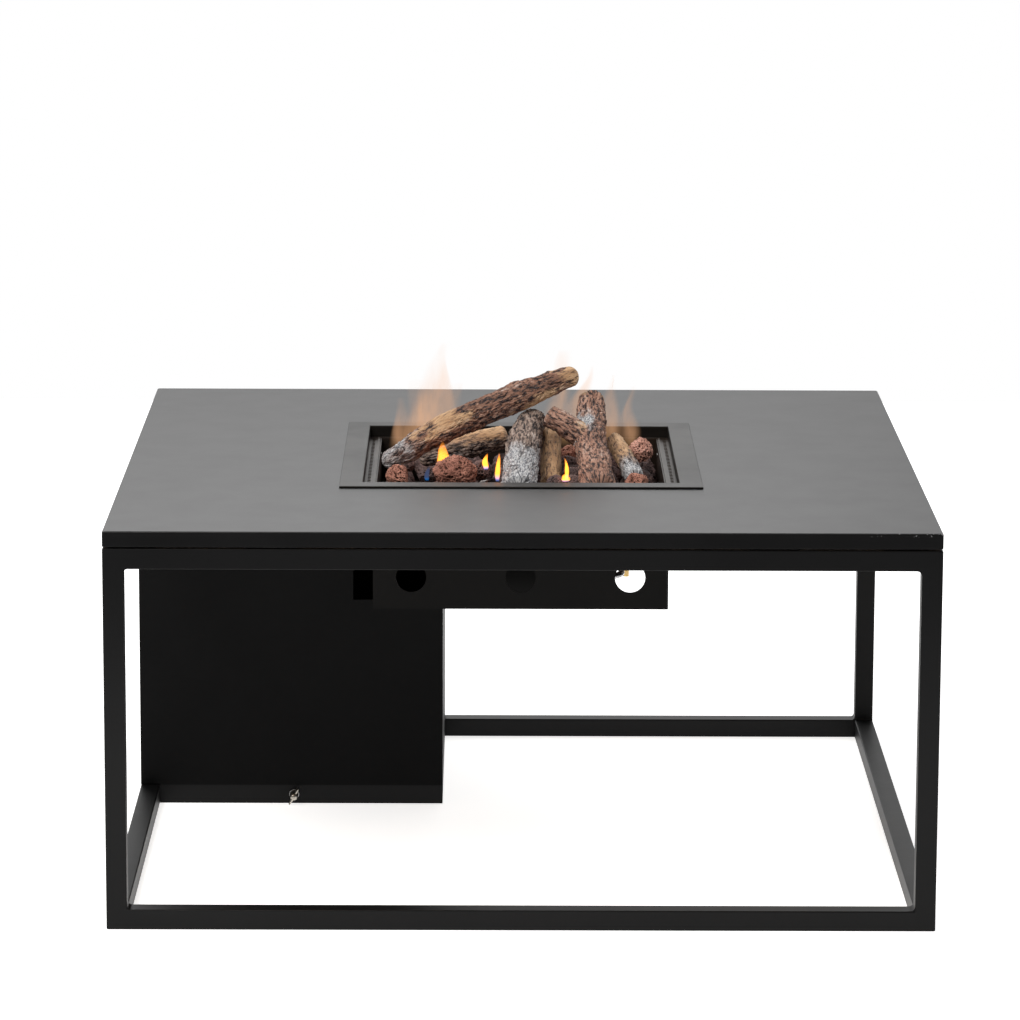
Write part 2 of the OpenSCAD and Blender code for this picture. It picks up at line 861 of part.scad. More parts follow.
leg_front_left();
leg_front_right();
leg_back_left();
leg_back_right();
top_rail_front();
top_rail_back();
top_rail_left();
top_rail_right();
bottom_rail_front();
bottom_rail_back();
bottom_rail_left();
bottom_rail_right();
base_rail_front();
base_rail_right();
tabletop();
tabletop_core();
spacer_pads();
corner_tabs();
top_screws();
burner_flange();
slotted_rim();
fire_tray();
burner_housing();
burner_ring();
mixer_tube();
jet_bracket();
jet_holder();
supply_pipe();
gas_valve();
valve_nut();
valve_stem();
control_knob();
control_plate();
plate_screws();
igniter_body();
igniter_button();
spark_electrode();
thermocouple();
gas_inlet();
clamp_brackets();
clamp_screws();
housing_rivets();
bottle_floor();
left_wall();
back_wall();
right_wall();
bottle_door();
door_hook();
rivet_nut();
wing_screw();
log_long();
log_upright();
log_forked();
log_back();
log_short();
log_middle();
lava_bed();
lava_stones();
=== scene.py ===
"""Square gas fire-pit table: a black tube frame, a thin top, and a burner with logs and lava stones.

Everything is in metres, in the CAD frame: the origin is on the floor under the middle of the table, and
the front looks along -Y.
"""

import math

import bmesh
import bpy
from mathutils import Matrix, Vector, noise


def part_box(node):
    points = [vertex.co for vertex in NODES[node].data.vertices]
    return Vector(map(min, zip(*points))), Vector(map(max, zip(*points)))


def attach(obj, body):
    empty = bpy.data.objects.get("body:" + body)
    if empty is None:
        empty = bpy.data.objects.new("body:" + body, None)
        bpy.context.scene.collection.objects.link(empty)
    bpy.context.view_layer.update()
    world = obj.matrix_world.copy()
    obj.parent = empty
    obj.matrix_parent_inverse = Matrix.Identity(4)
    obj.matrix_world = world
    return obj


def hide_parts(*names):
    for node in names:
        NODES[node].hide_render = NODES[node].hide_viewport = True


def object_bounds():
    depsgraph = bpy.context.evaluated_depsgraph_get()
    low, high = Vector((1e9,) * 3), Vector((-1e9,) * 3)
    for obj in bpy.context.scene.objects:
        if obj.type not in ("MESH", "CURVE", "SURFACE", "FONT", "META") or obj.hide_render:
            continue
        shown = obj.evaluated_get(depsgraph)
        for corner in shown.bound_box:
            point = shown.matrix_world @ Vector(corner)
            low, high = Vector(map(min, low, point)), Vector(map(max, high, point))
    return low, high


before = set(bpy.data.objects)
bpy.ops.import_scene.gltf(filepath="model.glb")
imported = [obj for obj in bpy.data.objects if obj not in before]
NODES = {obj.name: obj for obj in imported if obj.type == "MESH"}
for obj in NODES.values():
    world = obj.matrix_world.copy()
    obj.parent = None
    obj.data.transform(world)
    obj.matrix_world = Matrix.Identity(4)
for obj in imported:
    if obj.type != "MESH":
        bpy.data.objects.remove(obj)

CAD_LOW, CAD_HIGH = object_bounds()
MM = 0.001
# Set before the logs and again before the stones: even mathutils' noise vectors follow this seed.
SEED = 11


def span(node):
    """Lowest corner, highest corner and size of a CAD node."""
    low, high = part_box(node)
    return low, high, high - low


# ---- mesh helpers

def link_mesh(name, verts, faces, smooth=True):
    """A new mesh object from points and faces."""
    data = bpy.data.meshes.new(name)
    data.from_pydata([tuple(v) for v in verts], [], faces)
    data.validate()
    data.update()
    if smooth:
        data.shade_smooth()
    made = bpy.data.objects.new(name, data)
    bpy.context.scene.collection.objects.link(made)
    return made


def fix_normals(obj):
    """Turns every closed island's faces outwards."""
    bm = bmesh.new()
    bm.from_mesh(obj.data)
    bmesh.ops.recalc_face_normals(bm, faces=bm.faces)
    bm.to_mesh(obj.data)
    bm.free()


def sharpen(obj, degrees=35):
    """Marks edges steeper than an angle as sharp, and weighs normals by face area."""
    bm = bmesh.new()
    bm.from_mesh(obj.data)
    limit = math.radians(degrees)
    for edge in bm.edges:
        edge.smooth = len(edge.link_faces) == 2 and edge.calc_face_angle(0) < limit
    bm.to_mesh(obj.data)
    bm.free()
    weigh = obj.modifiers.new("weighted_normals", "WEIGHTED_NORMAL")
    weigh.keep_sharp = True


def bevel(obj, width, segments=2, degrees=30):
    """Rounds a part's hard edges with a modifier, so its mesh stays as it is."""
    soft = obj.modifiers.new("rounded_edges", "BEVEL")
    soft.width = width
    soft.segments = segments
    soft.limit_method = "ANGLE"
    soft.angle_limit = math.radians(degrees)
    soft.harden_normals = True


def arc(radius, start, end, steps):
    """Points (u, v) along an arc round (0, 0), from one angle to another in degrees."""
    for i in range(steps + 1):
        a = math.radians(start + (end - start) * i / steps)
        yield radius * math.cos(a), radius * math.sin(a)


def bridge_rings(rings, closed=False):
    """Faces that join rings of equal size, as (points, faces)."""
    size = len(rings[0])
    verts = [p for ring in rings for p in ring]
    faces = []
    last = len(rings) if closed else len(rings) - 1
    for i in range(last):
        a, b = i * size, ((i + 1) % len(rings)) * size
        for k in range(size):
            m = (k + 1) % size
            faces.append((a + k, a + m, b + m, b + k))
    if not closed:
        faces.append(tuple(reversed(range(size))))
        faces.append(tuple(range((len(rings) - 1) * size, len(rings) * size)))
    return verts, faces


def rounded_section(low, high, radii, steps=4):
    """Points round a rectangle in the (u, v) plane, with one radius for each corner.

    The corners are in the order (-,-), (+,-), (+,+), (-,+).
    """
    corners = [(-1, -1, 180), (1, -1, 270), (1, 1, 0), (-1, 1, 90)]
    points = []
    for (su, sv, start), r in zip(corners, radii):
        cu = (low[0] + r) if su < 0 else (high[0] - r)
        cv = (low[1] + r) if sv < 0 else (high[1] - r)
        for du, dv in arc(r, start, start + 90, steps):
            points.append((cu + du, cv + dv))
    return points


def square_loft(name, profile, steps=5):
    """A closed square ring swept from a closed profile of (half side, z, corner radius)."""
    rings = []
    for half, z, r in profile:
        section = rounded_section((-half, -half), (half, half), [max(r, 1e-5)] * 4, steps)
        rings.append([Vector((u, v, z)) for u, v in section])
    obj = link_mesh(name, *bridge_rings(rings, closed=True))
    fix_normals(obj)
    return obj


def lathe(profile, steps=32):
    """Points and faces of a solid of revolution round Z, from (radius, z) pairs, closed at both ends."""
    rings = []
    for r, z in profile:
        rings.append([Vector((u, v, z)) for u, v in list(arc(max(r, 1e-5), 0, 360, steps))[:-1]])
    return bridge_rings(rings)


def merged(parts):
    """Several (points, faces) pairs as one."""
    verts, faces = [], []
    for part_verts, part_faces in parts:
        base = len(verts)
        verts += part_verts
        faces += [tuple(base + i for i in face) for face in part_faces]
    return verts, faces


def join_parts(name, parts):
    """One mesh object from several closed (points, faces) pairs."""
    obj = link_mesh(name, *merged(parts))
    fix_normals(obj)
    return obj


def circle(steps):
    """(cos, sin) of evenly spaced angles all the way round."""
    return [(math.cos(2 * math.pi * k / steps), math.sin(2 * math.pi * k / steps)) for k in range(steps)]


def paint(obj, material):
    """Gives an object one material."""
    obj.data.materials.clear()
    obj.data.materials.append(material)
    return obj


def stands_for(obj, look, nodes, body="root"):
    """The piece gets its look, rides on a body and hides the CAD nodes."""
    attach(paint(obj, look), body)
    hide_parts(*nodes)


# ---- material helpers

def feed(tree, socket, value):
    """Links a socket to another node's output, or gives it a plain value."""
    if isinstance(value, bpy.types.NodeSocket):
        tree.links.new(value, socket)
    else:
        socket.default_value = value


def add_node(tree, kind, sockets=None, **settings):
    """A new node with its settings, and its inputs fed by name or number."""
    made = tree.nodes.new(kind)
    for key, value in settings.items():
        setattr(made, key, value)
    for key, value in (sockets or {}).items():
        feed(tree, made.inputs[key], value)
    return made


class Shader:
    """A small wrapper round one node material."""

    MIX_A, MIX_B, MIX_RESULT = 6, 7, 2

    def __init__(self, name):
        self.material = bpy.data.materials.new(name)
        self.material.use_nodes = True
        self.tree = self.material.node_tree
        self.bsdf = next(n for n in self.tree.nodes if n.type == "BSDF_PRINCIPLED")
        self.place = self.node("ShaderNodeTexCoord").outputs["Object"]

    def node(self, kind, sockets=None, **settings):
        return add_node(self.tree, kind, sockets, **settings)

    def stretched(self, scale, vector=None):
        """The object's coordinates, or others, scaled by axis."""
        sockets = {"Scale": scale, "Vector": vector or self.place}
        return self.node("ShaderNodeMapping", sockets).outputs["Vector"]

    def noise(self, scale, detail=4.0, rough=0.55, vector=None):
        sockets = {"Scale": scale, "Detail": detail, "Roughness": rough, "Vector": vector or self.place}
        return self.node("ShaderNodeTexNoise", sockets).outputs["Fac"]

    def cells(self, scale):
        """Distance to the nearest of many scattered points."""
        sockets = {"Scale": scale, "Vector": self.place}
        return self.node("ShaderNodeTexVoronoi", sockets).outputs["Distance"]

    def spread(self, value, low, high, to_low=0.0, to_high=1.0):
        """Maps a value from one range to another, clamped, with soft ends."""
        sockets = {"Value": value, "From Min": low, "From Max": high, "To Min": to_low, "To Max": to_high}
        return self.node("ShaderNodeMapRange", sockets, interpolation_type="SMOOTHSTEP").outputs["Result"]

    def math(self, operation, a, b=None):
        sockets = {0: a} if b is None else {0: a, 1: b}
        return self.node("ShaderNodeMath", sockets, operation=operation).outputs["Value"]

    def times(self, a, b):
        return self.math("MULTIPLY", a, b)

    def mix(self, factor, a, b):
        """Mixes two colours, each a socket or an (r, g, b)."""
        made = self.node("ShaderNodeMix", {"Factor": factor}, data_type="RGBA")
        for index, value in ((self.MIX_A, a), (self.MIX_B, b)):
            colour = (*value, 1.0) if isinstance(value, tuple) else value
            feed(self.tree, made.inputs[index], colour)
        return made.outputs[self.MIX_RESULT]

    def attribute(self, name, output="Fac"):
        return self.node("ShaderNodeAttribute", attribute_name=name).outputs[output]

    def axis(self, which):
        """One coordinate of the place on the object."""
        return self.node("ShaderNodeSeparateXYZ", {"Vector": self.place}).outputs[which]

    def bump(self, height, strength, distance):
        """Adds a bump on top of those already there."""
        made = self.node("ShaderNodeBump", {"Height": height, "Strength": strength, "Distance": distance})
        normal = self.bsdf.inputs["Normal"]
        if normal.links:
            feed(self.tree, made.inputs["Normal"], normal.links[0].from_socket)
        feed(self.tree, normal, made.outputs["Normal"])

    def set(self, **values):
        """Sets or links the surface's own inputs, each named with _ for a space."""
        for key, value in values.items():
            feed(self.tree, self.bsdf.inputs[key.replace("_", " ")], value)


def scaled(colour, factor, lift=0.0):
    """A colour made lighter or darker, with no channel above 1."""
    return tuple(min(1.0, c * factor + lift) for c in colour)


def powder_coat(name, base, rough=0.42, grain=1100.0, specular=0.22, painted_low_light=None, chips=False):
    """Fine-textured matte powder coat; it can be painted lighter low down, as painted light from the floor,
    or chipped along the tabletop's edge.
    """
    bare_metal = (0.42, 0.42, 0.43)
    low_light_from, most_low_light = 0.35, 0.6
    s = Shader(name)
    fine = s.noise(grain, 2.0, 0.5)
    tone = s.mix(s.spread(s.noise(7.0, 5.0, 0.6), 0.3, 0.7), base, scaled(base, 1.18, 0.0006))
    tone = s.mix(s.times(s.spread(fine, 0.60, 0.78), 0.35), tone, scaled(base, 2.4, 0.004))
    # Painted light: the colour turns lighter towards the bottom, standing in for the light thrown up from the
    # floor.
    if painted_low_light is not None:
        top = span("tabletop")[0].z
        tone = s.mix(s.spread(s.axis("Z"), top * low_light_from, top, most_low_light, 0.0), tone, painted_low_light)
    if chips:
        tone = s.mix(edge_chips(s), tone, bare_metal)
    worn = s.spread(s.noise(18.0, 6.0, 0.65), 0.25, 0.75, rough - 0.01, rough + 0.012)
    s.set(Base_Color=tone, Roughness=worn, Specular_IOR_Level=specular)
    s.bump(fine, 0.16, 0.25 * MM)
    return s.material


def edge_chips(s):
    """A mask of tiny knocks along the tabletop's top edge, most of them at the front right corner."""
    side, top = CAD_HIGH.x, span("tabletop")[1].z
    outwards = s.math("MAXIMUM", s.math("ABSOLUTE", s.axis("X")), s.math("ABSOLUTE", s.axis("Y")))
    rim = s.spread(outwards, side - 2.2 * MM, side - 0.8 * MM)
    high = s.spread(s.axis("Z"), top - 4.5 * MM, top - 1.5 * MM)
    towards_corner = s.math("SUBTRACT", s.axis("X"), s.axis("Y"))
    often = s.spread(towards_corner, side * 1.7, side * 2.0, 0.0, 0.12)
    chosen = s.spread(s.math("ADD", s.noise(260.0, 3.0, 0.6), often), 0.73, 0.75)
    return s.times(s.times(rim, high), chosen)


def heat_coat(name, base, soot, rough=0.5, specular=0.24, sheen=(1.0, 0.97, 0.93)):
    """Heat-resistant black with brown tints and sooty patches."""
    s = Shader(name)
    broad = s.noise(9.0, 6.0, 0.65)
    streaks = s.noise(5.0, 5.0, 0.6, s.stretched((1.0, 1.0, 9.0)))
    tone = s.mix(s.spread(broad, 0.35, 0.7), base, soot)
    tone = s.mix(s.times(s.spread(streaks, 0.5, 0.8), 0.5), tone, scaled(base, 1.9))
    s.set(Base_Color=tone, Roughness=s.spread(broad, 0.3, 0.75, rough - 0.02, rough + 0.03))
    s.set(Specular_IOR_Level=specular, Specular_Tint=(*sheen, 1.0))
    s.bump(s.noise(900.0, 2.0, 0.5), 0.12, 0.3 * MM)
    return s.material


def metal(name, base, tint, rough=0.32, brushed=(1.0, 1.0, 18.0), grain=220.0):
    """Worked metal with fine brush lines, stains and uneven polish."""
    s = Shader(name)
    lines = s.noise(grain, 3.0, 0.6, s.stretched(brushed))
    stains = s.noise(40.0, 6.0, 0.65)
    tone = s.mix(s.spread(stains, 0.35, 0.75), base, tint)
    tone = s.mix(s.spread(lines, 0.3, 0.8, 0.0, 0.25), tone, scaled(base, 0.55))
    polish = s.spread(stains, 0.25, 0.75, rough - 0.08, rough + 0.16)
    s.set(Base_Color=tone, Roughness=polish, Metallic=1.0)
    s.bump(lines, 0.12, 0.2 * MM)
    return s.material


def plastic(name, base, rough=0.42):
    """Moulded plastic with a faint grain and scuffs."""
    s = Shader(name)
    scuffs = s.noise(120.0, 6.0, 0.7)
    tone = s.mix(s.spread(scuffs, 0.4, 0.75), base, scaled(base, 1.4, 0.01))
    s.set(Base_Color=tone, Roughness=s.spread(scuffs, 0.3, 0.7, rough - 0.06, rough + 0.12))
    s.bump(s.noise(1800.0, 2.0, 0.5), 0.1, 0.1 * MM)
    return s.material


def marked_plastic(name, base, knob):
    """The knob's plastic, with a painted pointer line across the end of its grip."""
    s = Shader(name)
    scuffs = s.noise(140.0, 6.0, 0.7)
    tone = s.mix(s.spread(scuffs, 0.4, 0.75), base, scaled(base, 1.5, 0.01))
    low, high, size = span(knob)
    middle = (low + high) / 2
    across = s.math("ABSOLUTE", s.math("SUBTRACT", s.axis("Y"), middle.y))
    line = s.spread(across, 0.7 * MM, 1.2 * MM, 1.0, 0.0)
    upper = s.spread(s.axis("Z"), middle.z + size.z * 0.12, middle.z + size.z * 0.16)
    face = s.spread(s.axis("X"), high.x - 0.6 * MM, high.x - 0.2 * MM)
    tone = s.mix(s.times(s.times(line, upper), face), tone, (0.75, 0.74, 0.72))
    s.set(Base_Color=tone, Roughness=s.spread(scuffs, 0.3, 0.7, 0.36, 0.54))
    s.bump(s.noise(1600.0, 2.0, 0.5), 0.12, 0.1 * MM)
    return s.material


def plywood(name):
    """Sealed exterior plywood with long grain."""
    s = Shader(name)
    grain = s.noise(90.0, 6.0, 0.65, s.stretched((0.12, 1.6, 1.0)))
    fibre = s.noise(900.0, 3.0, 0.6, s.stretched((0.1, 1.0, 1.0)))
    tone = s.mix(s.spread(grain, 0.35, 0.65), (0.24, 0.15, 0.085), (0.38, 0.26, 0.155))
    tone = s.mix(s.spread(fibre, 0.55, 0.8), tone, (0.13, 0.08, 0.05))
    s.set(Base_Color=tone, Roughness=s.spread(grain, 0.2, 0.8, 0.55, 0.75))
    s.bump(fibre, 0.25, 0.5 * MM)
    return s.material


def rubber(name):
    """Black rubber with a gritty face."""
    s = Shader(name)
    grit = s.noise(900.0, 3.0, 0.6)
    tone = s.mix(s.spread(grit, 0.3, 0.8), (0.012, 0.012, 0.012), (0.035, 0.034, 0.033))
    s.set(Base_Color=tone, Roughness=s.spread(grit, 0.2, 0.8, 0.7, 0.9))
    s.bump(grit, 0.2, 0.3 * MM)
    return s.material


def sooty_ceramic(name):
    """Alumina, greyed by soot."""
    s = Shader(name)
    smudge = s.noise(160.0, 6.0, 0.7)
    tone = s.mix(s.spread(smudge, 0.45, 0.8), (0.34, 0.31, 0.27), (0.12, 0.105, 0.09))
    s.set(Base_Color=tone, Roughness=s.spread(smudge, 0.3, 0.7, 0.25, 0.5))
    s.bump(s.noise(700.0, 3.0, 0.6), 0.08, 0.3 * MM)
    return s.material


def bark(name, brown, rust, pale, dark=(0.022, 0.021, 0.026)):
    """Painted ceramic bark: rust-brown ridges, blue-black hollows, bare tan wood and white ash; the hollows'
    dark is partly painted shade, and the pale on the raised ridges partly a painted highlight.

    The mesh carries each point's own place on the log, how high it stands and how deep it lies in a
    crack, and where the tan wood and the ash are.
    """
    fleck, fibre = (0.72, 0.66, 0.60), (0.17, 0.105, 0.065)
    wood_brown, wood_tan = (0.46, 0.265, 0.14), (0.78, 0.52, 0.31)
    ash_grey, ash_white = (0.13, 0.14, 0.165), (0.70, 0.70, 0.71)
    s = Shader(name)
    crack, tan, ash, ridge = (s.attribute(key) for key in ("crack", "tan", "ash", "ridge"))
    own = s.attribute("own_place", "Vector")
    broad = s.noise(46.0, 5.0, 0.62, s.stretched((1.0, 1.0, 0.24), own))
    streak = s.noise(270.0, 6.0, 0.68, s.stretched((1.0, 1.0, 0.38), own))
    fine = s.noise(620.0, 5.0, 0.7, s.stretched((1.0, 1.0, 0.45), own))
    grit = s.noise(1300.0, 3.0, 0.6, own)
    tone = s.mix(s.spread(broad, 0.36, 0.64), brown, rust)
    tone = s.mix(s.spread(streak, 0.40, 0.56, 0.95, 0.0), tone, dark)
    # Pale tops on the raised ridges: partly dry-brushed paint and partly a painted highlight.
    tone = s.mix(s.times(s.spread(streak, 0.52, 0.68), s.spread(ridge, 0.45, 0.8)), tone, pale)
    tone = s.mix(s.spread(grit, 0.63, 0.72, 0.0, 0.85), tone, fleck)
    wood = s.mix(s.spread(broad, 0.35, 0.66), wood_brown, wood_tan)
    wood = s.mix(s.spread(streak, 0.32, 0.50, 0.75, 0.0), wood, fibre)
    ragged = s.times(s.math("SUBTRACT", streak, 0.5), 1.8)
    cloudy = s.times(s.math("SUBTRACT", broad, 0.5), 2.2)
    edge = s.math("ADD", ragged, cloudy)
    tone = s.mix(s.spread(s.math("ADD", tan, edge), 0.25, 0.95), tone, wood)
    powder = s.mix(s.spread(fine, 0.38, 0.60), ash_grey, ash_white)
    tone = s.mix(s.spread(s.math("ADD", ash, edge), 0.15, 0.95), tone, powder)
    # Painted shade: the cracks are darkened to blue-black, partly the bark's own dark and partly shade
    # painted into them.
    tone = s.mix(s.spread(crack, 0.2, 0.9, 0.0, 0.92), tone, dark)
    s.set(Base_Color=tone, Roughness=s.spread(fine, 0.3, 0.7, 0.62, 0.9), Specular_IOR_Level=0.3)
    s.bump(streak, 0.65, 1.8 * MM)
    s.bump(fine, 0.5, 1.0 * MM)
    return s.material


def lava(name, red, dark):
    """Porous lava stone: the mesh says how deep each point lies in a pore, and the pores and small pits are
    darkened as painted shade.
    """
    s = Shader(name)
    broad = s.noise(45.0, 5.0, 0.6)
    fine = s.noise(700.0, 5.0, 0.7)
    holes = s.cells(430.0)
    tone = s.mix(s.spread(broad, 0.35, 0.68), dark, red)
    tone = s.mix(s.spread(fine, 0.58, 0.75, 0.0, 0.55), tone, scaled(red, 1.9))
    # Painted shade: the small pits, and below them the deep pores, are darkened where shade falls into them.
    tone = s.mix(s.spread(holes, 0.16, 0.46, 0.85, 0.0), tone, scaled(dark, 0.22))
    tone = s.mix(s.spread(s.attribute("pore"), 0.1, 0.8, 0.0, 0.9), tone, scaled(dark, 0.18))
    s.set(Base_Color=tone, Roughness=s.spread(fine, 0.3, 0.7, 0.78, 0.95), Specular_IOR_Level=0.25)
    s.bump(holes, 0.9, 1.6 * MM)
    s.bump(fine, 0.5, 0.9 * MM)
    return s.material


def make_materials():
    """Every material, by a plain name."""
    black, top = (0.0024, 0.0024, 0.0026), (0.0050, 0.0050, 0.0052)
    return {
        "frame": powder_coat("frame_powder_coat", black, 0.44, specular=0.165),
        "upper_frame": powder_coat("upper_frame_powder_coat", black, 0.44, specular=0.08),
        # The legs are painted lighter low down, as painted light from the floor.
        "legs": powder_coat("legs_powder_coat", black, 0.44, specular=0.08, painted_low_light=(0.0145, 0.0145, 0.0146)),
        "top": powder_coat("top_powder_coat", top, 0.42, specular=0.31, chips=True),
        "top_edge": powder_coat("top_edge_powder_coat", top, 0.42, specular=0.03, chips=True),
        "housing": powder_coat("housing_powder_coat", (0.0018, 0.0018, 0.0019), 0.46, 900.0, 0.07),
        "skirt": powder_coat("skirt_powder_coat", (0.0030, 0.0028, 0.0026), 0.42, 900.0, 0.07),
        "burner": heat_coat("burner_heat_coat", (0.010, 0.0085, 0.0072), (0.006, 0.0055, 0.005), 0.42, 0.18),
        "rim": heat_coat("rim_heat_coat", (0.026, 0.019, 0.014), (0.012, 0.009, 0.008), 0.42, 0.22,
                         (1.0, 0.88, 0.80)),
        "tray": heat_coat("tray_heat_coat", (0.020, 0.012, 0.008), (0.005, 0.0045, 0.004), 0.48),
        "board": plywood("sealed_plywood"),
        "rubber": rubber("pad_rubber"),
        "steel": metal("zinc_steel", (0.52, 0.52, 0.53), (0.38, 0.37, 0.36)),
        "hot_steel": metal("tinted_steel", (0.34, 0.29, 0.24), (0.16, 0.15, 0.19), 0.38),
        "nickel": metal("dull_nickel", (0.55, 0.51, 0.45), (0.30, 0.26, 0.21), 0.34, (1.0, 1.0, 1.0), 500.0),
        "brass": metal("brass", (0.62, 0.43, 0.17), (0.34, 0.22, 0.10), 0.3),
        "aluminium": metal("aluminium_pipe", (0.66, 0.66, 0.68), (0.5, 0.5, 0.5), 0.28),
        "knob": marked_plastic("knob_plastic", (0.012, 0.012, 0.012), "control_knob"),
        "black_plastic": plastic("igniter_plastic", (0.012, 0.012, 0.013)),
        "red_plastic": plastic("button_plastic", (0.32, 0.015, 0.01), 0.3),
        "ceramic": sooty_ceramic("sooty_alumina"),
        "bark_brown": bark("bark_brown", (0.24, 0.125, 0.085), (0.42, 0.22, 0.15), (0.66, 0.46, 0.34)),
        "bark_rust": bark("bark_rust", (0.35, 0.19, 0.135), (0.54, 0.305, 0.22), (0.74, 0.56, 0.46)),
        "bark_grey": bark("bark_grey", (0.30, 0.22, 0.18), (0.46, 0.34, 0.28), (0.70, 0.60, 0.52)),
        "lava_red": lava("lava_red", (0.62, 0.29, 0.21), (0.34, 0.145, 0.105)),
        "lava_pink": lava("lava_pink", (0.80, 0.45, 0.36), (0.50, 0.24, 0.18)),
        "lava_dark": lava("lava_dark", (0.26, 0.165, 0.15), (0.10, 0.07, 0.07)),
    }


# ---- camera, light and floor

def make_camera():
    """A long lens from the front, a little to the left and above, as the table was photographed."""
    place = Vector((-0.0472, -6.134, 1.6355))
    pitch, yaw, roll = (math.radians(angle) for angle in (11.225, 0.3225, 0.24))
    lens_mm, sensor_mm, far = 171.0, 36.0, 200.0
    data = bpy.data.cameras.new("camera")
    data.sensor_width = sensor_mm
    data.lens = lens_mm
    data.clip_end = far
    camera = bpy.data.objects.new("camera", data)
    bpy.context.scene.collection.objects.link(camera)
    turn = (Matrix.Rotation(-yaw, 4, "Z") @ Matrix.Rotation(math.pi / 2 - pitch, 4, "X")
            @ Matrix.Rotation(roll, 4, "Z"))
    camera.matrix_world = Matrix.Translation(place) @ turn
    bpy.context.scene.camera = camera


def make_world():
    """A white studio: bright behind and above the table, dim on the viewer's side."""
    dim, bright = 0.18, 1.30
    front, back = -0.7, 0.6
    world = bpy.data.worlds.new("studio")
    bpy.context.scene.world = world
    world.use_nodes = True
    tree = world.node_tree
    tree.nodes.clear()
    coords = add_node(tree, "ShaderNodeTexCoord")
    split = add_node(tree, "ShaderNodeSeparateXYZ", {0: coords.outputs["Generated"]})
    levels = {"From Min": front, "From Max": back, "To Min": dim, "To Max": bright}
    ramp = add_node(tree, "ShaderNodeMapRange", {"Value": split.outputs["Y"], **levels},
                    interpolation_type="SMOOTHSTEP")
    light = add_node(tree, "ShaderNodeBackground", {"Strength": ramp.outputs["Result"]})
    seen = add_node(tree, "ShaderNodeBackground", {"Color": (1.0, 1.0, 1.0, 1.0)})
    path = add_node(tree, "ShaderNodeLightPath")
    mix = add_node(tree, "ShaderNodeMixShader", {
        "Fac": path.outputs["Is Camera Ray"], 1: light.outputs[0], 2: seen.outputs[0]})
    add_node(tree, "ShaderNodeOutputWorld", {"Surface": mix.outputs[0]})


def add_softbox(name, place, size, power, colour=(1.0, 1.0, 1.0)):
    """A rectangular area light that points at the burner."""
    aim = Vector((0.0, 0.0, 0.45))
    data = bpy.data.lights.new(name, "AREA")
    data.shape = "RECTANGLE"
    data.size, data.size_y = size
    data.energy = power
    data.color = colour
    lamp = bpy.data.objects.new(name, data)
    bpy.context.scene.collection.objects.link(lamp)
    lamp.location = place
    lamp.rotation_euler = (aim - Vector(place)).to_track_quat("-Z", "Y").to_euler()


def make_lights():
    add_softbox("key_softbox", (-1.3, -2.1, 3.0), (1.8, 1.8), 90.0, (1.0, 0.97, 0.93))
    add_softbox("back_softbox", (-0.5, 2.8, 2.4), (2.6, 1.6), 24.0)


def make_floor():
    """A plain pale floor, which ends behind the table, where the white backdrop starts."""
    reach, behind, glow = 40.0, 3.2, 0.76
    corners = [(-reach, -reach, 0), (reach, -reach, 0), (reach, behind, 0), (-reach, behind, 0)]
    floor = link_mesh("studio_floor", corners, [(0, 1, 2, 3)], smooth=False)
    s = Shader("studio_floor_paint")
    tone = s.mix(s.noise(1.2, 4.0, 0.5), (0.86, 0.86, 0.86), (0.90, 0.90, 0.90))
    s.set(Base_Color=tone, Roughness=0.9, Specular_IOR_Level=0.1)
    s.set(Emission_Color=(1.0, 1.0, 1.0, 1.0), Emission_Strength=glow)
    paint(floor, s.material)


# ---- frame

EDGE = 1.6 * MM


def leg_piece(node, rail_low, rail_high):
    """A leg whose edges are rounded, but run flush into the rails where these are welded on."""
    low, high, _ = span(node)
    side_x = 1 if low.x > 0 else -1
    side_y = 1 if low.y > 0 else -1
    wall, inner_edge, hollow = 2 * MM, 0.8 * MM, 40 * MM
    flush, taper = 0.02 * MM, 1.5 * MM

    def ring(z, inset, inner):
        u0, u1 = low.x + (inset if side_x < 0 else 0), high.x - (inset if side_x > 0 else 0)
        v0, v1 = low.y + (inset if side_y < 0 else 0), high.y - (inset if side_y > 0 else 0)
        radii = []
        for su, sv in ((-1, -1), (1, -1), (1, 1), (-1, 1)):
            radii.append(EDGE if (su == side_x and sv == side_y) else inner)
        return [Vector((u, v, z)) for u, v in rounded_section((u0, v0), (u1, v1), radii)]

    inside = rounded_section((low.x + wall, low.y + wall), (high.x - wall, high.y - wall), [inner_edge] * 4)
    rings = [[Vector((u, v, z)) for u, v in inside] for z in (low.z + hollow, low.z)]
    for out, up in arc(EDGE, 270, 180, 4):
        rings.append(ring(low.z + EDGE + up, EDGE + out, flush))
    rings.append(ring(rail_low, 0, flush))
    rings.append(ring(rail_low + taper, 0, EDGE))
    rings.append(ring(rail_high - taper, 0, EDGE))
    rings.append(ring(rail_high, 0, flush))
    for out, up in arc(EDGE, 180, 90, 4):
        rings.append(ring(high.z - EDGE + up, EDGE + out, flush))
    obj = link_mesh(node + "_tube", *bridge_rings(rings))
    fix_normals(obj)
    sharpen(obj)
    return obj


def fillet_prism(corner, along_a, along_b, depth, radius, steps=7):
    """A weld's concave fillet between two faces, as (points, faces): depth is the vector it runs along."""
    profile = [Vector(corner), Vector(corner) + along_a * radius]
    centre = Vector(corner) + (along_a + along_b) * radius
    for i in range(1, steps):
        a = math.radians(90.0 * i / steps)
        profile.append(centre - along_b * radius * math.cos(a) - along_a * radius * math.sin(a))
    profile.append(Vector(corner) + along_b * radius)
    return bridge_rings([profile, [p + depth for p in profile]])


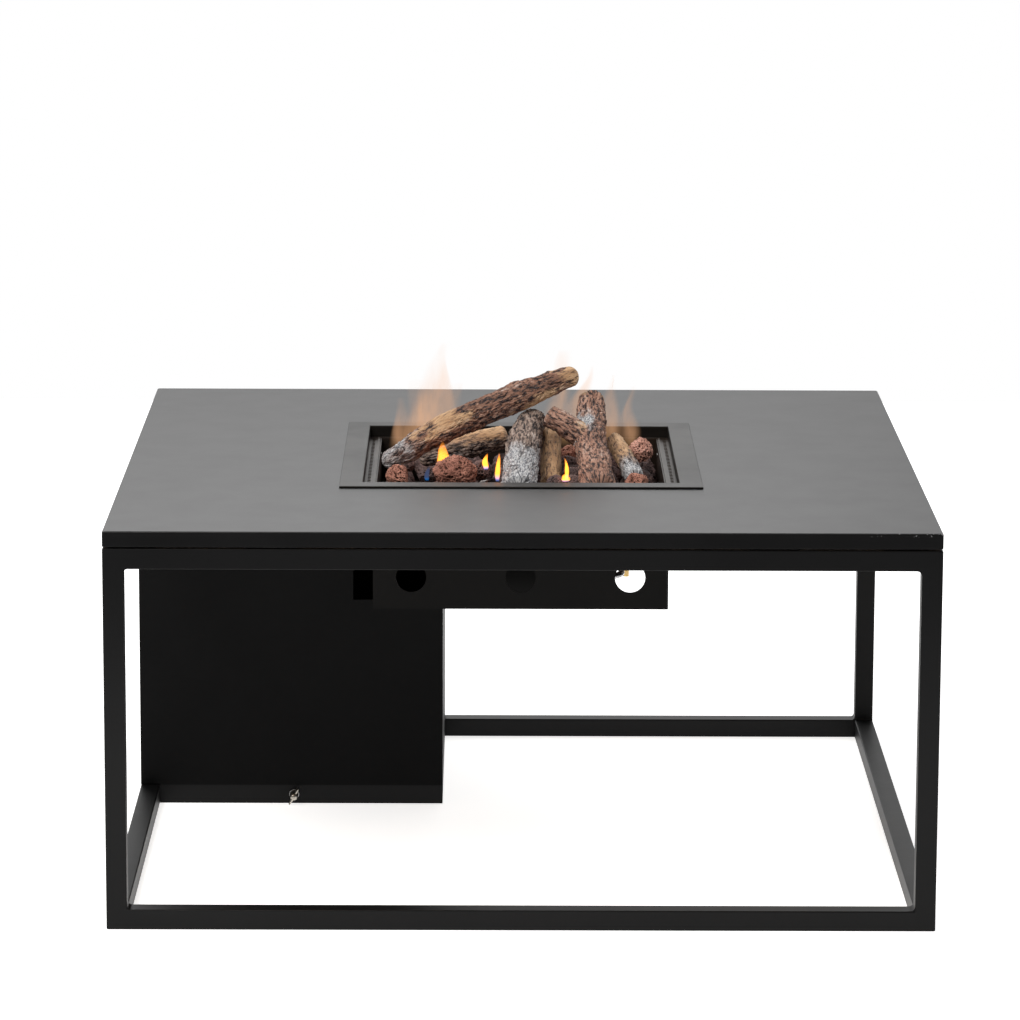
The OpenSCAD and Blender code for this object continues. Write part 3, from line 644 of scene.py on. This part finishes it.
def rail_piece(node, welds):
    """A tube with rounded long edges, plus the weld fillets at its ends, below or above it."""
    low, high, size = span(node)
    lengthwise = 0 if size.x > size.y else 1
    across = 1 - lengthwise
    tube = size[across]
    z0 = high.z - tube if welds == "below" else low.z
    z1 = z0 + tube

    def place(along, sideways, z):
        p = Vector((0, 0, z))
        p[lengthwise], p[across] = along, sideways
        return p

    section = rounded_section((low[across], z0), (high[across], z1), [EDGE] * 4)
    ends = (low[lengthwise], high[lengthwise])
    parts = [bridge_rings([[place(end, u, z) for u, z in section] for end in ends])]
    face, up = (z0, -1) if welds == "below" else (z1, 1)
    run = place(0, tube - 2 * EDGE, 0)
    for index, (end, way) in enumerate(zip(ends, (1, -1))):
        corner = place(end, low[across] + EDGE, face)
        radius = (4.2 + 1.9 * ((index * 7 + len(node) * 3) % 5) / 4) * MM
        parts.append(fillet_prism(corner, place(way, 0, 0), Vector((0, 0, up)), run, radius))
    obj = join_parts(node + "_tube", parts)
    sharpen(obj)
    return obj


def build_frame(mats):
    """The welded frame of twelve tubes."""
    rail_low = span("bottom_rail_left")[1].z
    _, leg_high, leg_size = span("leg_front_left")
    rail_high = leg_high.z - leg_size.x
    for node in ("leg_front_left", "leg_front_right", "leg_back_left", "leg_back_right"):
        stands_for(leg_piece(node, rail_low, rail_high), mats["legs"], [node])
    for side in ("front", "back", "left", "right"):
        for level, welds, look in (("top", "below", "upper_frame"), ("bottom", "above", "frame")):
            node = "%s_rail_%s" % (level, side)
            stands_for(rail_piece(node, welds), mats[look], [node])


# ---- tabletop

def build_tabletop(mats):
    """The folded pan, rounded along its top edge, with a hemmed lower edge."""
    low, high, _ = span("tabletop")
    half, top, under = high.x, high.z, low.z
    sheet = high.z - span("tabletop_core")[1].z
    cut = span("burner_flange")[1].x - 25.5 * MM
    r, hem, corner = 2.2 * MM, 0.8 * MM, 2.4 * MM
    profile = [(cut, top, 2 * MM), (half - r, top, corner)]
    for out, up in list(arc(r, 90, 0, 6))[1:]:
        profile.append((half - r + out, top - r + up, corner))
    profile.append((half, under + hem, corner))
    for out, up in list(arc(hem, 0, -90, 3))[1:]:
        profile.append((half - hem + out, under + hem + up, corner))
    profile.append((half - sheet + hem, under, corner))
    profile.append((half - sheet, under + hem, corner))
    profile.append((half - sheet, top - sheet, corner))
    profile.append((cut, top - sheet, 2 * MM))
    pan = square_loft("tabletop_pan", profile)
    sharpen(pan)
    stands_for(pan, mats["top"], ["tabletop"])
    pan.data.materials.append(mats["top_edge"])
    for face in pan.data.polygons:
        face.material_index = 1 if abs(face.normal.z) < 0.5 else 0


# ---- burner

def build_flange(mats):
    """The flange on the tabletop: hemmed outside, rolled over into the wall round the opening."""
    low, high, _ = span("burner_flange")
    top, foot, outer = high.z, low.z, high.x
    seat = span("tabletop")[1].z
    wall_out = span("slotted_rim")[1].x
    wall_in = wall_out - 1.5 * MM
    hem, roll = (top - seat) * 0.45, 1.6 * MM
    middle, half = (top + seat) / 2, (top - seat) / 2
    corner = 1.2 * MM
    profile = []
    for out, up in arc(hem, -90, 90, 8):
        profile.append((outer - hem + out, middle + up * half / hem, corner))
    for out, up in arc(roll, 90, 180, 5):
        profile.append((wall_in + roll + out, top - roll + up, corner))
    profile.append((wall_in, foot, corner))
    profile.append((wall_out, foot, corner))
    profile.append((wall_out, seat, corner))
    flange = square_loft("burner_flange_sheet", profile)
    sharpen(flange)
    stands_for(flange, mats["burner"], ["burner_flange"])


# CAD nodes that show as they are: the look, the rounded edges' width in mm and segments, and the nodes.
CAD_LOOKS = [
    ("frame", 0.7, 3, "base_rail_front base_rail_right corner_tabs"),
    ("board", 0.5, 2, "tabletop_core"),
    ("rubber", 0.4, 2, "spacer_pads"),
    ("steel", 0.4, 2, "top_screws valve_stem control_plate"),
    ("steel", 0.3, 2, "clamp_screws housing_rivets valve_nut plate_screws rivet_nut"),
    ("tray", 0.4, 2, "fire_tray"),
    ("skirt", 0.7, 2, "burner_housing"),
    ("skirt", 0.4, 2, "clamp_brackets jet_bracket"),
    ("hot_steel", 0.3, 2, "burner_ring thermocouple"),
    ("hot_steel", 0.8, 2, "mixer_tube"),
    ("brass", 0.6, 2, "jet_holder gas_valve gas_inlet"),
    ("knob", 0.9, 3, "control_knob"),
    ("black_plastic", 0.5, 2, "igniter_body"),
    ("red_plastic", 0.8, 3, "igniter_button"),
    ("ceramic", 0.3, 2, "spark_electrode"),
    ("housing", 0.5, 3, "bottle_floor left_wall back_wall right_wall bottle_door door_hook"),
]


def finish_cad_nodes(mats):
    """Looks and rounded edges for the CAD nodes that no piece replaces."""
    for look, width, segments, nodes in CAD_LOOKS:
        for node in nodes.split():
            bevel(paint(NODES[node], mats[look]), width * MM, segments)
    bevel(paint(NODES["slotted_rim"], mats["rim"]), 0.35 * MM, 2, degrees=40)
    paint(NODES["supply_pipe"], mats["aluminium"])


# ---- wing screw

def build_wing_screw(mats):
    """A cast wing screw: a domed boss, two flared wings and a threaded shank."""
    low, high, _ = span("wing_screw")
    centre = Vector(((low.x + high.x) / 2, low.y, (low.z + high.z) / 2))
    wall = span("base_rail_front")[0].y
    collar = wall - low.y - 1.4 * MM
    pitch, core, crest = 1.0 * MM, 2.6 * MM, 3.0 * MM
    profile = [(0.0, 0.2 * MM), (2.6 * MM, 0.4 * MM), (4.2 * MM, 1.6 * MM), (5.0 * MM, 4.5 * MM),
               (5.6 * MM, 9.0 * MM), (6.0 * MM, collar - 0.6 * MM), (5.6 * MM, collar), (3.0 * MM, collar)]
    y = collar + 0.3 * MM
    end = high.y - low.y
    while y < end - pitch:
        profile += [(core, y), (crest, y + pitch * 0.5)]
        y += pitch
    profile += [(core, end - 0.5 * MM), (2.0 * MM, end), (0.0, end)]
    reach, tilt = 12.1 * MM, math.radians(60)
    parts = [lathe(profile, 28), wing_shape(reach, 1), wing_shape(reach, -1)]
    obj = join_parts("wing_screw_cast", parts)
    turn = Matrix.Rotation(-tilt, 4, "Y") @ Matrix.Rotation(-math.pi / 2, 4, "X")
    obj.data.transform(Matrix.Translation(centre) @ turn)
    fix_normals(obj)
    sharpen(obj, 50)
    stands_for(obj, mats["nickel"], ["wing_screw"], "wing_screw")


def wing_shape(reach, flip):
    """One wing in the (x, z) plane before it is turned: thick at the root, thin and rounded at its tip."""
    rings = []
    steps, around = 12, 16
    root = 3.0 * MM
    for i in range(steps + 1):
        t = i / steps
        x = root + (reach - root) * math.sin(t * math.pi / 2)
        middle = 9.0 * MM - 5.6 * MM * t
        tall = (5.2 - 1.6 * t) * MM * math.sqrt(max(1e-4, 1 - t ** 5))
        thick = (2.1 - 0.9 * t) * MM * math.sqrt(max(1e-4, 1 - t ** 6))
        rings.append([Vector((flip * x, thick * u, middle + tall * v)) for u, v in circle(around)])
    return bridge_rings(rings)


# ---- logs

LONG_RUN = [[(-164, -62, 496), 14], [(-93, -38, 535), 19], [(5, -4, 572), 21], [(62, 15, 590), 14]]
UPRIGHT_RUN = [[(-3, -140, 478), 24], [(6, -30, 525), 22], [(15, 0, 531.5), 17]]
TRUNK_RUN = [[(97, -138, 480), 24], [(89, -45, 514), 21], [(91, 28, 550), 18]]
BRANCH_RUN = [[(80, -35, 522), 19], [(45, -24, 541), 14]]
BACK_RUN = [[(-118, 58, 481), 16], [(-31, 72, 498), 17]]
SHORT_RUN = [[(124, 10, 503), 12.5], [(144, -78, 480), 13]]
MIDDLE_RUN = [[(39, -70, 472), 14], [(40, 28, 520), 13]]


def smooth_step(low, high, value):
    """0 below low, 1 above high and a soft rise between."""
    t = min(1.0, max(0.0, (value - low) / (high - low)))
    return t * t * (3 - 2 * t)


def set_attribute(obj, name, values):
    """Stores one number for each point of the mesh."""
    layer = obj.data.attributes.new(name, "FLOAT", "POINT")
    layer.data.foreach_set("value", values)


class Run:
    """A log's centre line through [point, radius] pairs in millimetres, out to the tips of its ends."""

    def __init__(self, pairs):
        self.points = [Vector(p) * MM for p, r in pairs]
        self.radii = [r * MM for p, r in pairs]
        first = (self.points[0] - self.points[1]).normalized()
        last = (self.points[-1] - self.points[-2]).normalized()
        self.points[0] += first * self.radii[0] * 0.94
        self.points[-1] += last * self.radii[-1] * 0.94
        self.marks = [0.0]
        for a, b in zip(self.points, self.points[1:]):
            self.marks.append(self.marks[-1] + (b - a).length)
        self.length = self.marks[-1]

    def exact(self, s):
        """Point and radius at a distance along the line."""
        i = max([0] + [j for j in range(len(self.marks) - 1) if self.marks[j] <= s])
        t = (s - self.marks[i]) / (self.marks[i + 1] - self.marks[i])
        return self.points[i].lerp(self.points[i + 1], t), self.radii[i] * (1 - t) + self.radii[i + 1] * t

    def at(self, s):
        """Point and radius at a distance along the line, smoothed where it bends."""
        reach = min(self.length * 0.14, s, self.length - s)
        spots = [self.exact(s + reach * k / 3) for k in range(-3, 4)]
        point = sum((p for p, r in spots), Vector((0, 0, 0))) / len(spots)
        return point, sum(r for p, r in spots) / len(spots)


def bark_relief(p, seed):
    """(height, crack depth) of bark at a place on the log's own surface, in millimetres."""
    q = Vector((p.x + seed * 31.7, p.y, p.z))
    w = q + noise.noise_vector(q * 0.05) * 6.0 + noise.noise_vector(q * 0.17) * 2.0
    long_line = abs(noise.noise(Vector((w.x * 0.10, w.y * 0.10, w.z * 0.028))))
    short_line = abs(noise.noise(Vector((w.x * 0.23 + 40.0, w.y * 0.23, w.z * 0.075))))
    there = smooth_step(-0.22, 0.18, noise.noise(q * 0.06 + Vector((70.0, 0, 0))))
    there_too = smooth_step(-0.15, 0.25, noise.noise(q * 0.09 + Vector((0, 50.0, 0))))
    crack = (1.0 - smooth_step(0.0, 0.085, long_line)) * there
    split = (1.0 - smooth_step(0.0, 0.11, short_line)) * there_too * 0.8
    lumps = noise.noise(q * 0.035) * 2.2 + noise.noise(q * 0.085) * 1.3
    rough = noise.turbulence(Vector((w.x * 0.42, w.y * 0.42, w.z * 0.12)), 4, False) * 1.5
    height = lumps + rough - 0.6 - crack * 2.4 - split * 1.2
    return height, min(1.0, max(crack, split))


ALL_ROUND, ABOVE, BELOW = (0, 0, 0), (0, 0, 1), (0, 0, -1)
LEFT_FRONT = (-0.8, -0.6, 0)


def patch_strength(patches, where, out, wobble):
    """How strongly a point lies in any of (place, half width, strength, side it faces) patches."""
    best = 0.0
    for mid, width, power, facing in patches:
        here = 1 - smooth_step(width * 0.2, width * 1.15, abs(where - mid) + wobble)
        side = 1.0 if facing == ALL_ROUND else smooth_step(-0.5, 0.6, out.dot(Vector(facing)))
        best = max(best, power * here * side)
    return best


def log_piece(name, pairs, seed, along, around, tan=(), ash=(), blunt=0.42, bare=0.0):
    """A log as a displaced tube with closed, rounded ends."""
    run = Run(pairs)
    verts, faces, own = [], [], []
    marks = {"crack": [], "tan": [], "ash": [], "ridge": []}
    side = Vector((0, 0, 1))
    cap = 12
    stations = [run.length * i / (along - 1) for i in range(along)]
    head = [run.radii[0] * blunt * (1 - math.cos(math.pi / 2 * i / cap)) for i in range(cap)]
    tail = [run.length - run.radii[-1] * blunt * (1 - math.cos(math.pi / 2 * i / cap)) for i in range(cap)]
    stations = sorted(head + [s for s in stations if head[-1] < s < tail[-1]] + tail)
    for s in stations:
        centre, radius = run.at(s)
        ahead = run.at(min(run.length, s + 0.004))[0] - run.at(max(0.0, s - 0.004))[0]
        ahead.normalize()
        u = side.cross(ahead).normalized()
        v = ahead.cross(u).normalized()
        close = 1.0
        for gone, r in ((s, run.radii[0]), (run.length - s, run.radii[-1])):
            x = 1.0 - min(1.0, gone / (r * blunt))
            close *= math.sqrt(max(0.0, 1.0 - x ** 2))
        where = s / run.length
        for ring_x, ring_y in circle(around):
            out = u * ring_x + v * ring_y
            p = Vector((ring_x * radius, ring_y * radius, s)) / MM
            big = noise.noise(Vector((ring_x * 0.9 + seed * 3.1, ring_y * 0.9, s * 14.0)))
            height, crack = bark_relief(p, seed)
            wobble = 0.10 * noise.noise(p * 0.07)
            tan_here = max(bare, patch_strength(tan, where, out, wobble))
            ash_here = patch_strength(ash, where, out, -wobble)
            crack *= 1.0 - 0.8 * tan_here
            height = height * (1 - 0.65 * tan_here) + 0.9 * big * tan_here
            r = radius * (0.955 + 0.09 * big) * close + height * MM * min(1.0, close + 0.1)
            verts.append(centre + out * max(0.0002, r))
            own.append(p * MM + Vector((seed * 0.37, 0, 0)))
            # The crack mark also sets the painted shade in the bark's cracks, and the ridge mark the painted
            # highlight on its raised parts.
            marks["crack"].append(crack * (0.35 + 0.65 * close))
            marks["tan"].append(tan_here)
            marks["ash"].append(ash_here)
            marks["ridge"].append(min(1.0, max(0.0, 0.5 + height * 0.22)))
    for i in range(len(stations) - 1):
        a, b = i * around, (i + 1) * around
        for k in range(around):
            m = (k + 1) % around
            faces.append((a + k, a + m, b + m, b + k))
    for ring in (range(around), range(len(verts) - around, len(verts))):
        middle = len(verts)
        verts.append(sum((verts[i] for i in ring), Vector((0, 0, 0))) / around)
        own.append(own[ring[0]])
        for values in marks.values():
            values.append(values[ring[0]])
        for k in range(around):
            faces.append((ring[k], ring[(k + 1) % around], middle))
    obj = link_mesh(name, verts, faces)
    for key, values in marks.items():
        set_attribute(obj, key, values)
    layer = obj.data.attributes.new("own_place", "FLOAT_VECTOR", "POINT")
    layer.data.foreach_set("vector", [c for p in own for c in p])
    fix_normals(obj)
    return obj


def join_objects(objs):
    """Joins mesh objects into the first one."""
    bpy.ops.object.select_all(action="DESELECT")
    for o in objs:
        o.select_set(True)
    bpy.context.view_layer.objects.active = objs[0]
    bpy.ops.object.join()
    return objs[0]


# Each log's node, look and branches: a name, a run, rings along it, points round it and log_piece's options.
LOGS = [
    ("log_long", "bark_brown", [("log_long_bark", LONG_RUN, 380, 200, {
        "blunt": 0.8,
        # The tan patch under the long log, at 0.80 along it, is painted light: the flames' warm glow on its
        # underside.
        "tan": [(0.33, 0.17, 0.9, ABOVE), (1.0, 0.12, 1.0, ALL_ROUND), (0.80, 0.16, 0.8, BELOW)],
        "ash": [(0.0, 0.24, 0.62, ALL_ROUND)]})]),
    ("log_upright", "bark_grey", [("log_upright_bark", UPRIGHT_RUN, 240, 200, {
        "ash": [(0.15, 0.42, 0.95, ALL_ROUND)]})]),
    ("log_forked", "bark_rust", [
        ("log_forked_bark", TRUNK_RUN, 280, 200, {
            "ash": [(0.68, 0.13, 1.0, LEFT_FRONT)], "tan": [(1.0, 0.10, 0.5, ALL_ROUND)]}),
        ("log_forked_stub", BRANCH_RUN, 120, 130, {"blunt": 0.3, "tan": [(0.3, 0.2, 0.4, ABOVE)]})]),
    ("log_back", "bark_grey", [("log_back_bark", BACK_RUN, 180, 140, {
        "tan": [(0.75, 0.45, 0.9, ABOVE)], "ash": [(0.5, 0.5, 0.5, BELOW)]})]),
    ("log_short", "bark_grey", [("log_short_bark", SHORT_RUN, 150, 120, {
        "tan": [(0.3, 0.5, 0.9, ALL_ROUND)], "ash": [(0.95, 0.35, 0.9, ALL_ROUND)]})]),
    ("log_middle", "bark_grey", [("log_middle_bark", MIDDLE_RUN, 150, 120, {"bare": 0.9})]),
]


def build_logs(mats):
    """The six logs; a forked one is joined from its trunk and its branch."""
    noise.seed_set(SEED)
    fine = 1.0
    seed = 0
    for node, look, branches in LOGS:
        pieces = []
        for name, run, along, around, options in branches:
            seed += 1
            pieces.append(log_piece(name, run, seed, int(along * fine), int(around * fine), **options))
        log = join_objects(pieces) if len(pieces) > 1 else pieces[0]
        stands_for(log, mats[look], [node])


# ---- lava stones

def stone_mesh(centre, sizes, seed, levels):
    """One lava stone: an angular lump full of pores, as (points, faces, pore depths)."""
    bm = bmesh.new()
    bmesh.ops.create_icosphere(bm, subdivisions=levels, radius=1.0)
    shift = Vector((seed * 5.3, seed * 1.7, seed * 2.9))
    planes = [(noise.random_unit_vector(), 0.62 + 0.30 * noise.random()) for _ in range(11)]
    centre, sizes = Vector(centre) * MM, Vector(sizes) * MM
    deep = min(1.0, (sizes.x + sizes.y + sizes.z) / 3 / (14 * MM))
    points, pores = [], []
    for vert in bm.verts:
        d = vert.co.normalized()
        r = 1.0
        for normal, reach in planes:
            facing = d.dot(normal)
            if facing > 0.05:
                r = min(r, reach / facing)
        r = 0.30 + 0.70 * r
        surface = Vector((d.x * sizes.x, d.y * sizes.y, d.z * sizes.z)) * r
        q = surface / MM * 0.1 + shift
        swell = noise.noise(q * 0.9) * 0.09 + noise.turbulence(q * 2.4, 3, False) * 0.07
        holes = noise.voronoi(q * 2.3 + noise.noise_vector(q * 2.0) * 0.25)[0][0]
        tiny = noise.voronoi(q * 4.6)[0][0]
        pore = (1 - smooth_step(0.22, 0.46, holes)) * smooth_step(-0.5, 0.1, noise.noise(q * 1.1))
        pore_small = (1 - smooth_step(0.16, 0.42, tiny)) * 0.7
        depth = (pore * 2.3 + pore_small * 0.9) * MM * deep
        points.append(centre + surface * (0.99 + swell) - d * depth)
        # These pore values also set the painted shade in the stone's colour.
        pores.append(max(pore, pore_small))
    faces = [tuple(v.index for v in face.verts) for face in bm.faces]
    bm.free()
    return points, faces, pores


def stones_piece(name, stones, levels):
    """A group of stones in one mesh, each a closed lump."""
    parts, pores = [], []
    for index, (centre, sizes) in enumerate(stones):
        points, faces, depths = stone_mesh(centre, sizes, index + len(name), levels)
        parts.append((points, faces))
        pores += depths
    obj = link_mesh(name, *merged(parts))
    set_attribute(obj, "pore", pores)
    return obj


def bed_stones():
    """Places for the stones on the tray's floor, jittered on a grid and raised over the burner."""
    floor = span("lava_bed")[0].z / MM
    tray_high = span("fire_tray")[1]
    reach = (tray_high.x / MM) - 24
    count = 8
    stones = []
    for i in range(count):
        for j in range(count):
            x = -reach + 2 * reach * i / (count - 1) + (noise.random() - 0.5) * 12
            y = -reach + 2 * reach * j / (count - 1) + (noise.random() - 0.5) * 12
            r = 17 + 6 * noise.random()
            x = max(-reach - 2, min(reach + 2, x))
            y = max(-reach - 2, min(reach + 2, y))
            lift = 20 if max(abs(x), abs(y)) < 92 else 0
            small = 0.8 if lift else 1.0
            sizes = [r * small * (0.85 + 0.3 * noise.random()) for _ in range(3)]
            stones.append(((x, y, floor + r * small * 0.95 + lift), sizes))
    return stones


def build_stones(mats):
    noise.seed_set(SEED)
    bed = stones_piece("lava_bed_stones", bed_stones(), 4)
    stands_for(bed, mats["lava_dark"], ["lava_bed"])
    levels = 6
    red = [((-154, -130, 487), (16, 15, 15)), ((-85, -128, 490), (30, 19, 24)),
           ((145, -137, 479), (17, 14, 15)), ((70, 88, 474), (17, 16, 15))]
    pink = [((155, 22, 492), (17, 17, 17)), ((140, 62, 478), (18, 16, 15))]
    dark = [((-50, -92, 487), (20, 14, 14)), ((-117, -98, 482), (14, 13, 13)),
            ((46, -138, 478), (15, 13, 13)), ((-150, 10, 480), (17, 16, 15)), ((10, 60, 470), (15, 14, 13))]
    first = stones_piece("lava_stones_red", red, levels)
    stands_for(first, mats["lava_red"], ["lava_stones"])
    others = (("lava_stones_pink", pink, "lava_pink"), ("lava_stones_dark", dark, "lava_dark"))
    for name, stones, look in others:
        piece = stones_piece(name, stones, levels)
        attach(paint(piece, mats[look]), "root")


# ---- flames, which are not part of the object

def flame_paint(name, foot, tip, strength, thick=True):
    """Glowing gas, blue at the foot and orange above; a thick tongue is see-through at its edges."""
    s = Shader(name)
    wisps = s.noise(34.0, 4.0, 0.6, s.stretched((1.0, 1.0, 0.30)))
    veil = s.times(s.attribute("body"), s.spread(wisps, 0.3, 0.65, 0.35, 1.0))
    if thick:
        facing = s.node("ShaderNodeLayerWeight", {"Blend": 0.5}).outputs["Facing"]
        veil = s.times(veil, s.math("POWER", s.spread(facing, 0.0, 0.9, 1.0, 0.0), 1.8))
    glow = s.mix(s.spread(s.attribute("rise"), 0.0, 0.30), foot, tip)
    s.set(Base_Color=(0.0, 0.0, 0.0, 1.0), Specular_IOR_Level=0.0, Roughness=1.0)
    s.set(Emission_Color=glow, Emission_Strength=strength, Alpha=veil)
    return s.material


def flame_tongue(name, place, height, width, lean, seed):
    """A small bright tongue of flame: a closed, swaying teardrop."""
    rings, rises, bodies = [], [], []
    rows, around = 28, 20
    for i in range(rows + 1):
        t = i / rows
        sway = lean * t * t + 0.10 * width * math.sin(5.0 * t + seed)
        girth = width * 0.5 * (math.sin(math.pi * min(1.0, 0.12 + t * 0.88)) ** 0.8) * (1 - 0.55 * t) + 0.0003
        ring = []
        for u, v in circle(around):
            ripple = 1 + 0.22 * noise.noise(Vector((u * 0.8, t * 3.0, seed)))
            spot = Vector((sway + girth * ripple * u, girth * 0.6 * ripple * v, height * t))
            ring.append(Vector(place) + spot)
        rings.append(ring)
        rises += [t] * around
        bodies += [0.95 * smooth_step(0.0, 0.16, t) * (1 - smooth_step(0.5, 1.0, t))] * around
    obj = link_mesh(name, *bridge_rings(rings))
    set_attribute(obj, "rise", rises)
    set_attribute(obj, "body", bodies)
    fix_normals(obj)
    return obj


def flame_veil(name, place, height, width, lean, density, seed):
    """A faint tall flame: two crossed sheets that fade out towards every edge."""
    rows, columns = 36, 16
    verts, faces, rises, bodies = [], [], [], []
    for yaw in (-0.6, 0.6):
        base = len(verts)
        for i in range(rows + 1):
            t = i / rows
            half = width * (0.5 - 0.38 * t ** 1.5)
            for k in range(columns + 1):
                u = 2 * k / columns - 1
                drift = 0.25 * width * noise.noise(Vector((u * 0.7, t * 2.2, seed)))
                side = u * half + drift
                verts.append(Vector(place) + Vector((
                    side * math.cos(yaw) + lean * t * t, side * math.sin(yaw), height * t)))
                rises.append(t)
                fade = smooth_step(0.0, 0.30, t) * (1 - t) ** 0.6
                bodies.append(density * fade * (1 - u * u) ** 1.5)
        for i in range(rows):
            for k in range(columns):
                a = base + i * (columns + 1) + k
                faces.append((a, a + 1, a + columns + 2, a + columns + 1))
    obj = link_mesh(name, verts, faces)
    set_attribute(obj, "rise", rises)
    set_attribute(obj, "body", bodies)
    return obj


def build_flames():
    """Faint tongues behind the logs and a few small bright ones between the stones."""
    faint = flame_paint("flame_veil", (0.80, 0.44, 0.20), (0.95, 0.52, 0.28), 1.0, thick=False)
    bright = flame_paint("flame_bright", (0.04, 0.14, 0.42), (1.0, 0.30, 0.03), 3.6)
    veils = [((-0.122, 0.045), 0.145, 0.080, 0.024, 0.42), ((-0.138, 0.040), 0.098, 0.060, 0.006, 0.26),
             ((-0.154, 0.030), 0.076, 0.040, -0.004, 0.28), ((-0.084, 0.050), 0.092, 0.060, 0.004, 0.28),
             ((0.052, 0.070), 0.132, 0.070, 0.006, 0.42), ((0.080, 0.066), 0.112, 0.066, 0.010, 0.40),
             ((0.116, 0.060), 0.102, 0.050, 0.006, 0.36), ((0.140, 0.050), 0.088, 0.045, 0.006, 0.32)]
    for i, ((x, y), height, width, lean, density) in enumerate(veils):
        tongue = flame_veil("flame_veil_%d" % i, (x, y, 0.485), height, width, lean, density, i * 2.3)
        paint(tongue, faint)
    sparks = [((-0.100, -0.100), 0.486, 0.042, 0.022, 0.004), ((-0.045, -0.112), 0.492, 0.022, 0.009, 0.003),
              ((-0.029, -0.150), 0.484, 0.038, 0.008, 0.001), ((0.058, -0.150), 0.486, 0.030, 0.006, -0.003),
              ((0.055, -0.150), 0.484, 0.012, 0.014, 0.004)]
    for i, ((x, y), foot, height, width, lean) in enumerate(sparks):
        tongue = flame_tongue("flame_bright_%d" % i, (x, y, foot), height, width, lean, i * 1.7)
        paint(tongue, bright)
    blue = flame_paint("flame_blue", (0.0, 0.16, 0.52), (0.06, 0.08, 0.16), 0.9)
    pilot = flame_tongue("flame_blue_pilot", (-0.118, -0.140, 0.483), 0.020, 0.008, 0.002, 3.1)
    paint(pilot, blue)


# ---- everything

def build():
    """The whole scene."""
    bpy.context.scene.view_settings.view_transform = "Standard"
    make_camera()
    make_world()
    make_lights()
    make_floor()
    mats = make_materials()
    build_frame(mats)
    build_tabletop(mats)
    build_flange(mats)
    finish_cad_nodes(mats)
    build_wing_screw(mats)
    build_logs(mats)
    build_stones(mats)
    build_flames()


build()
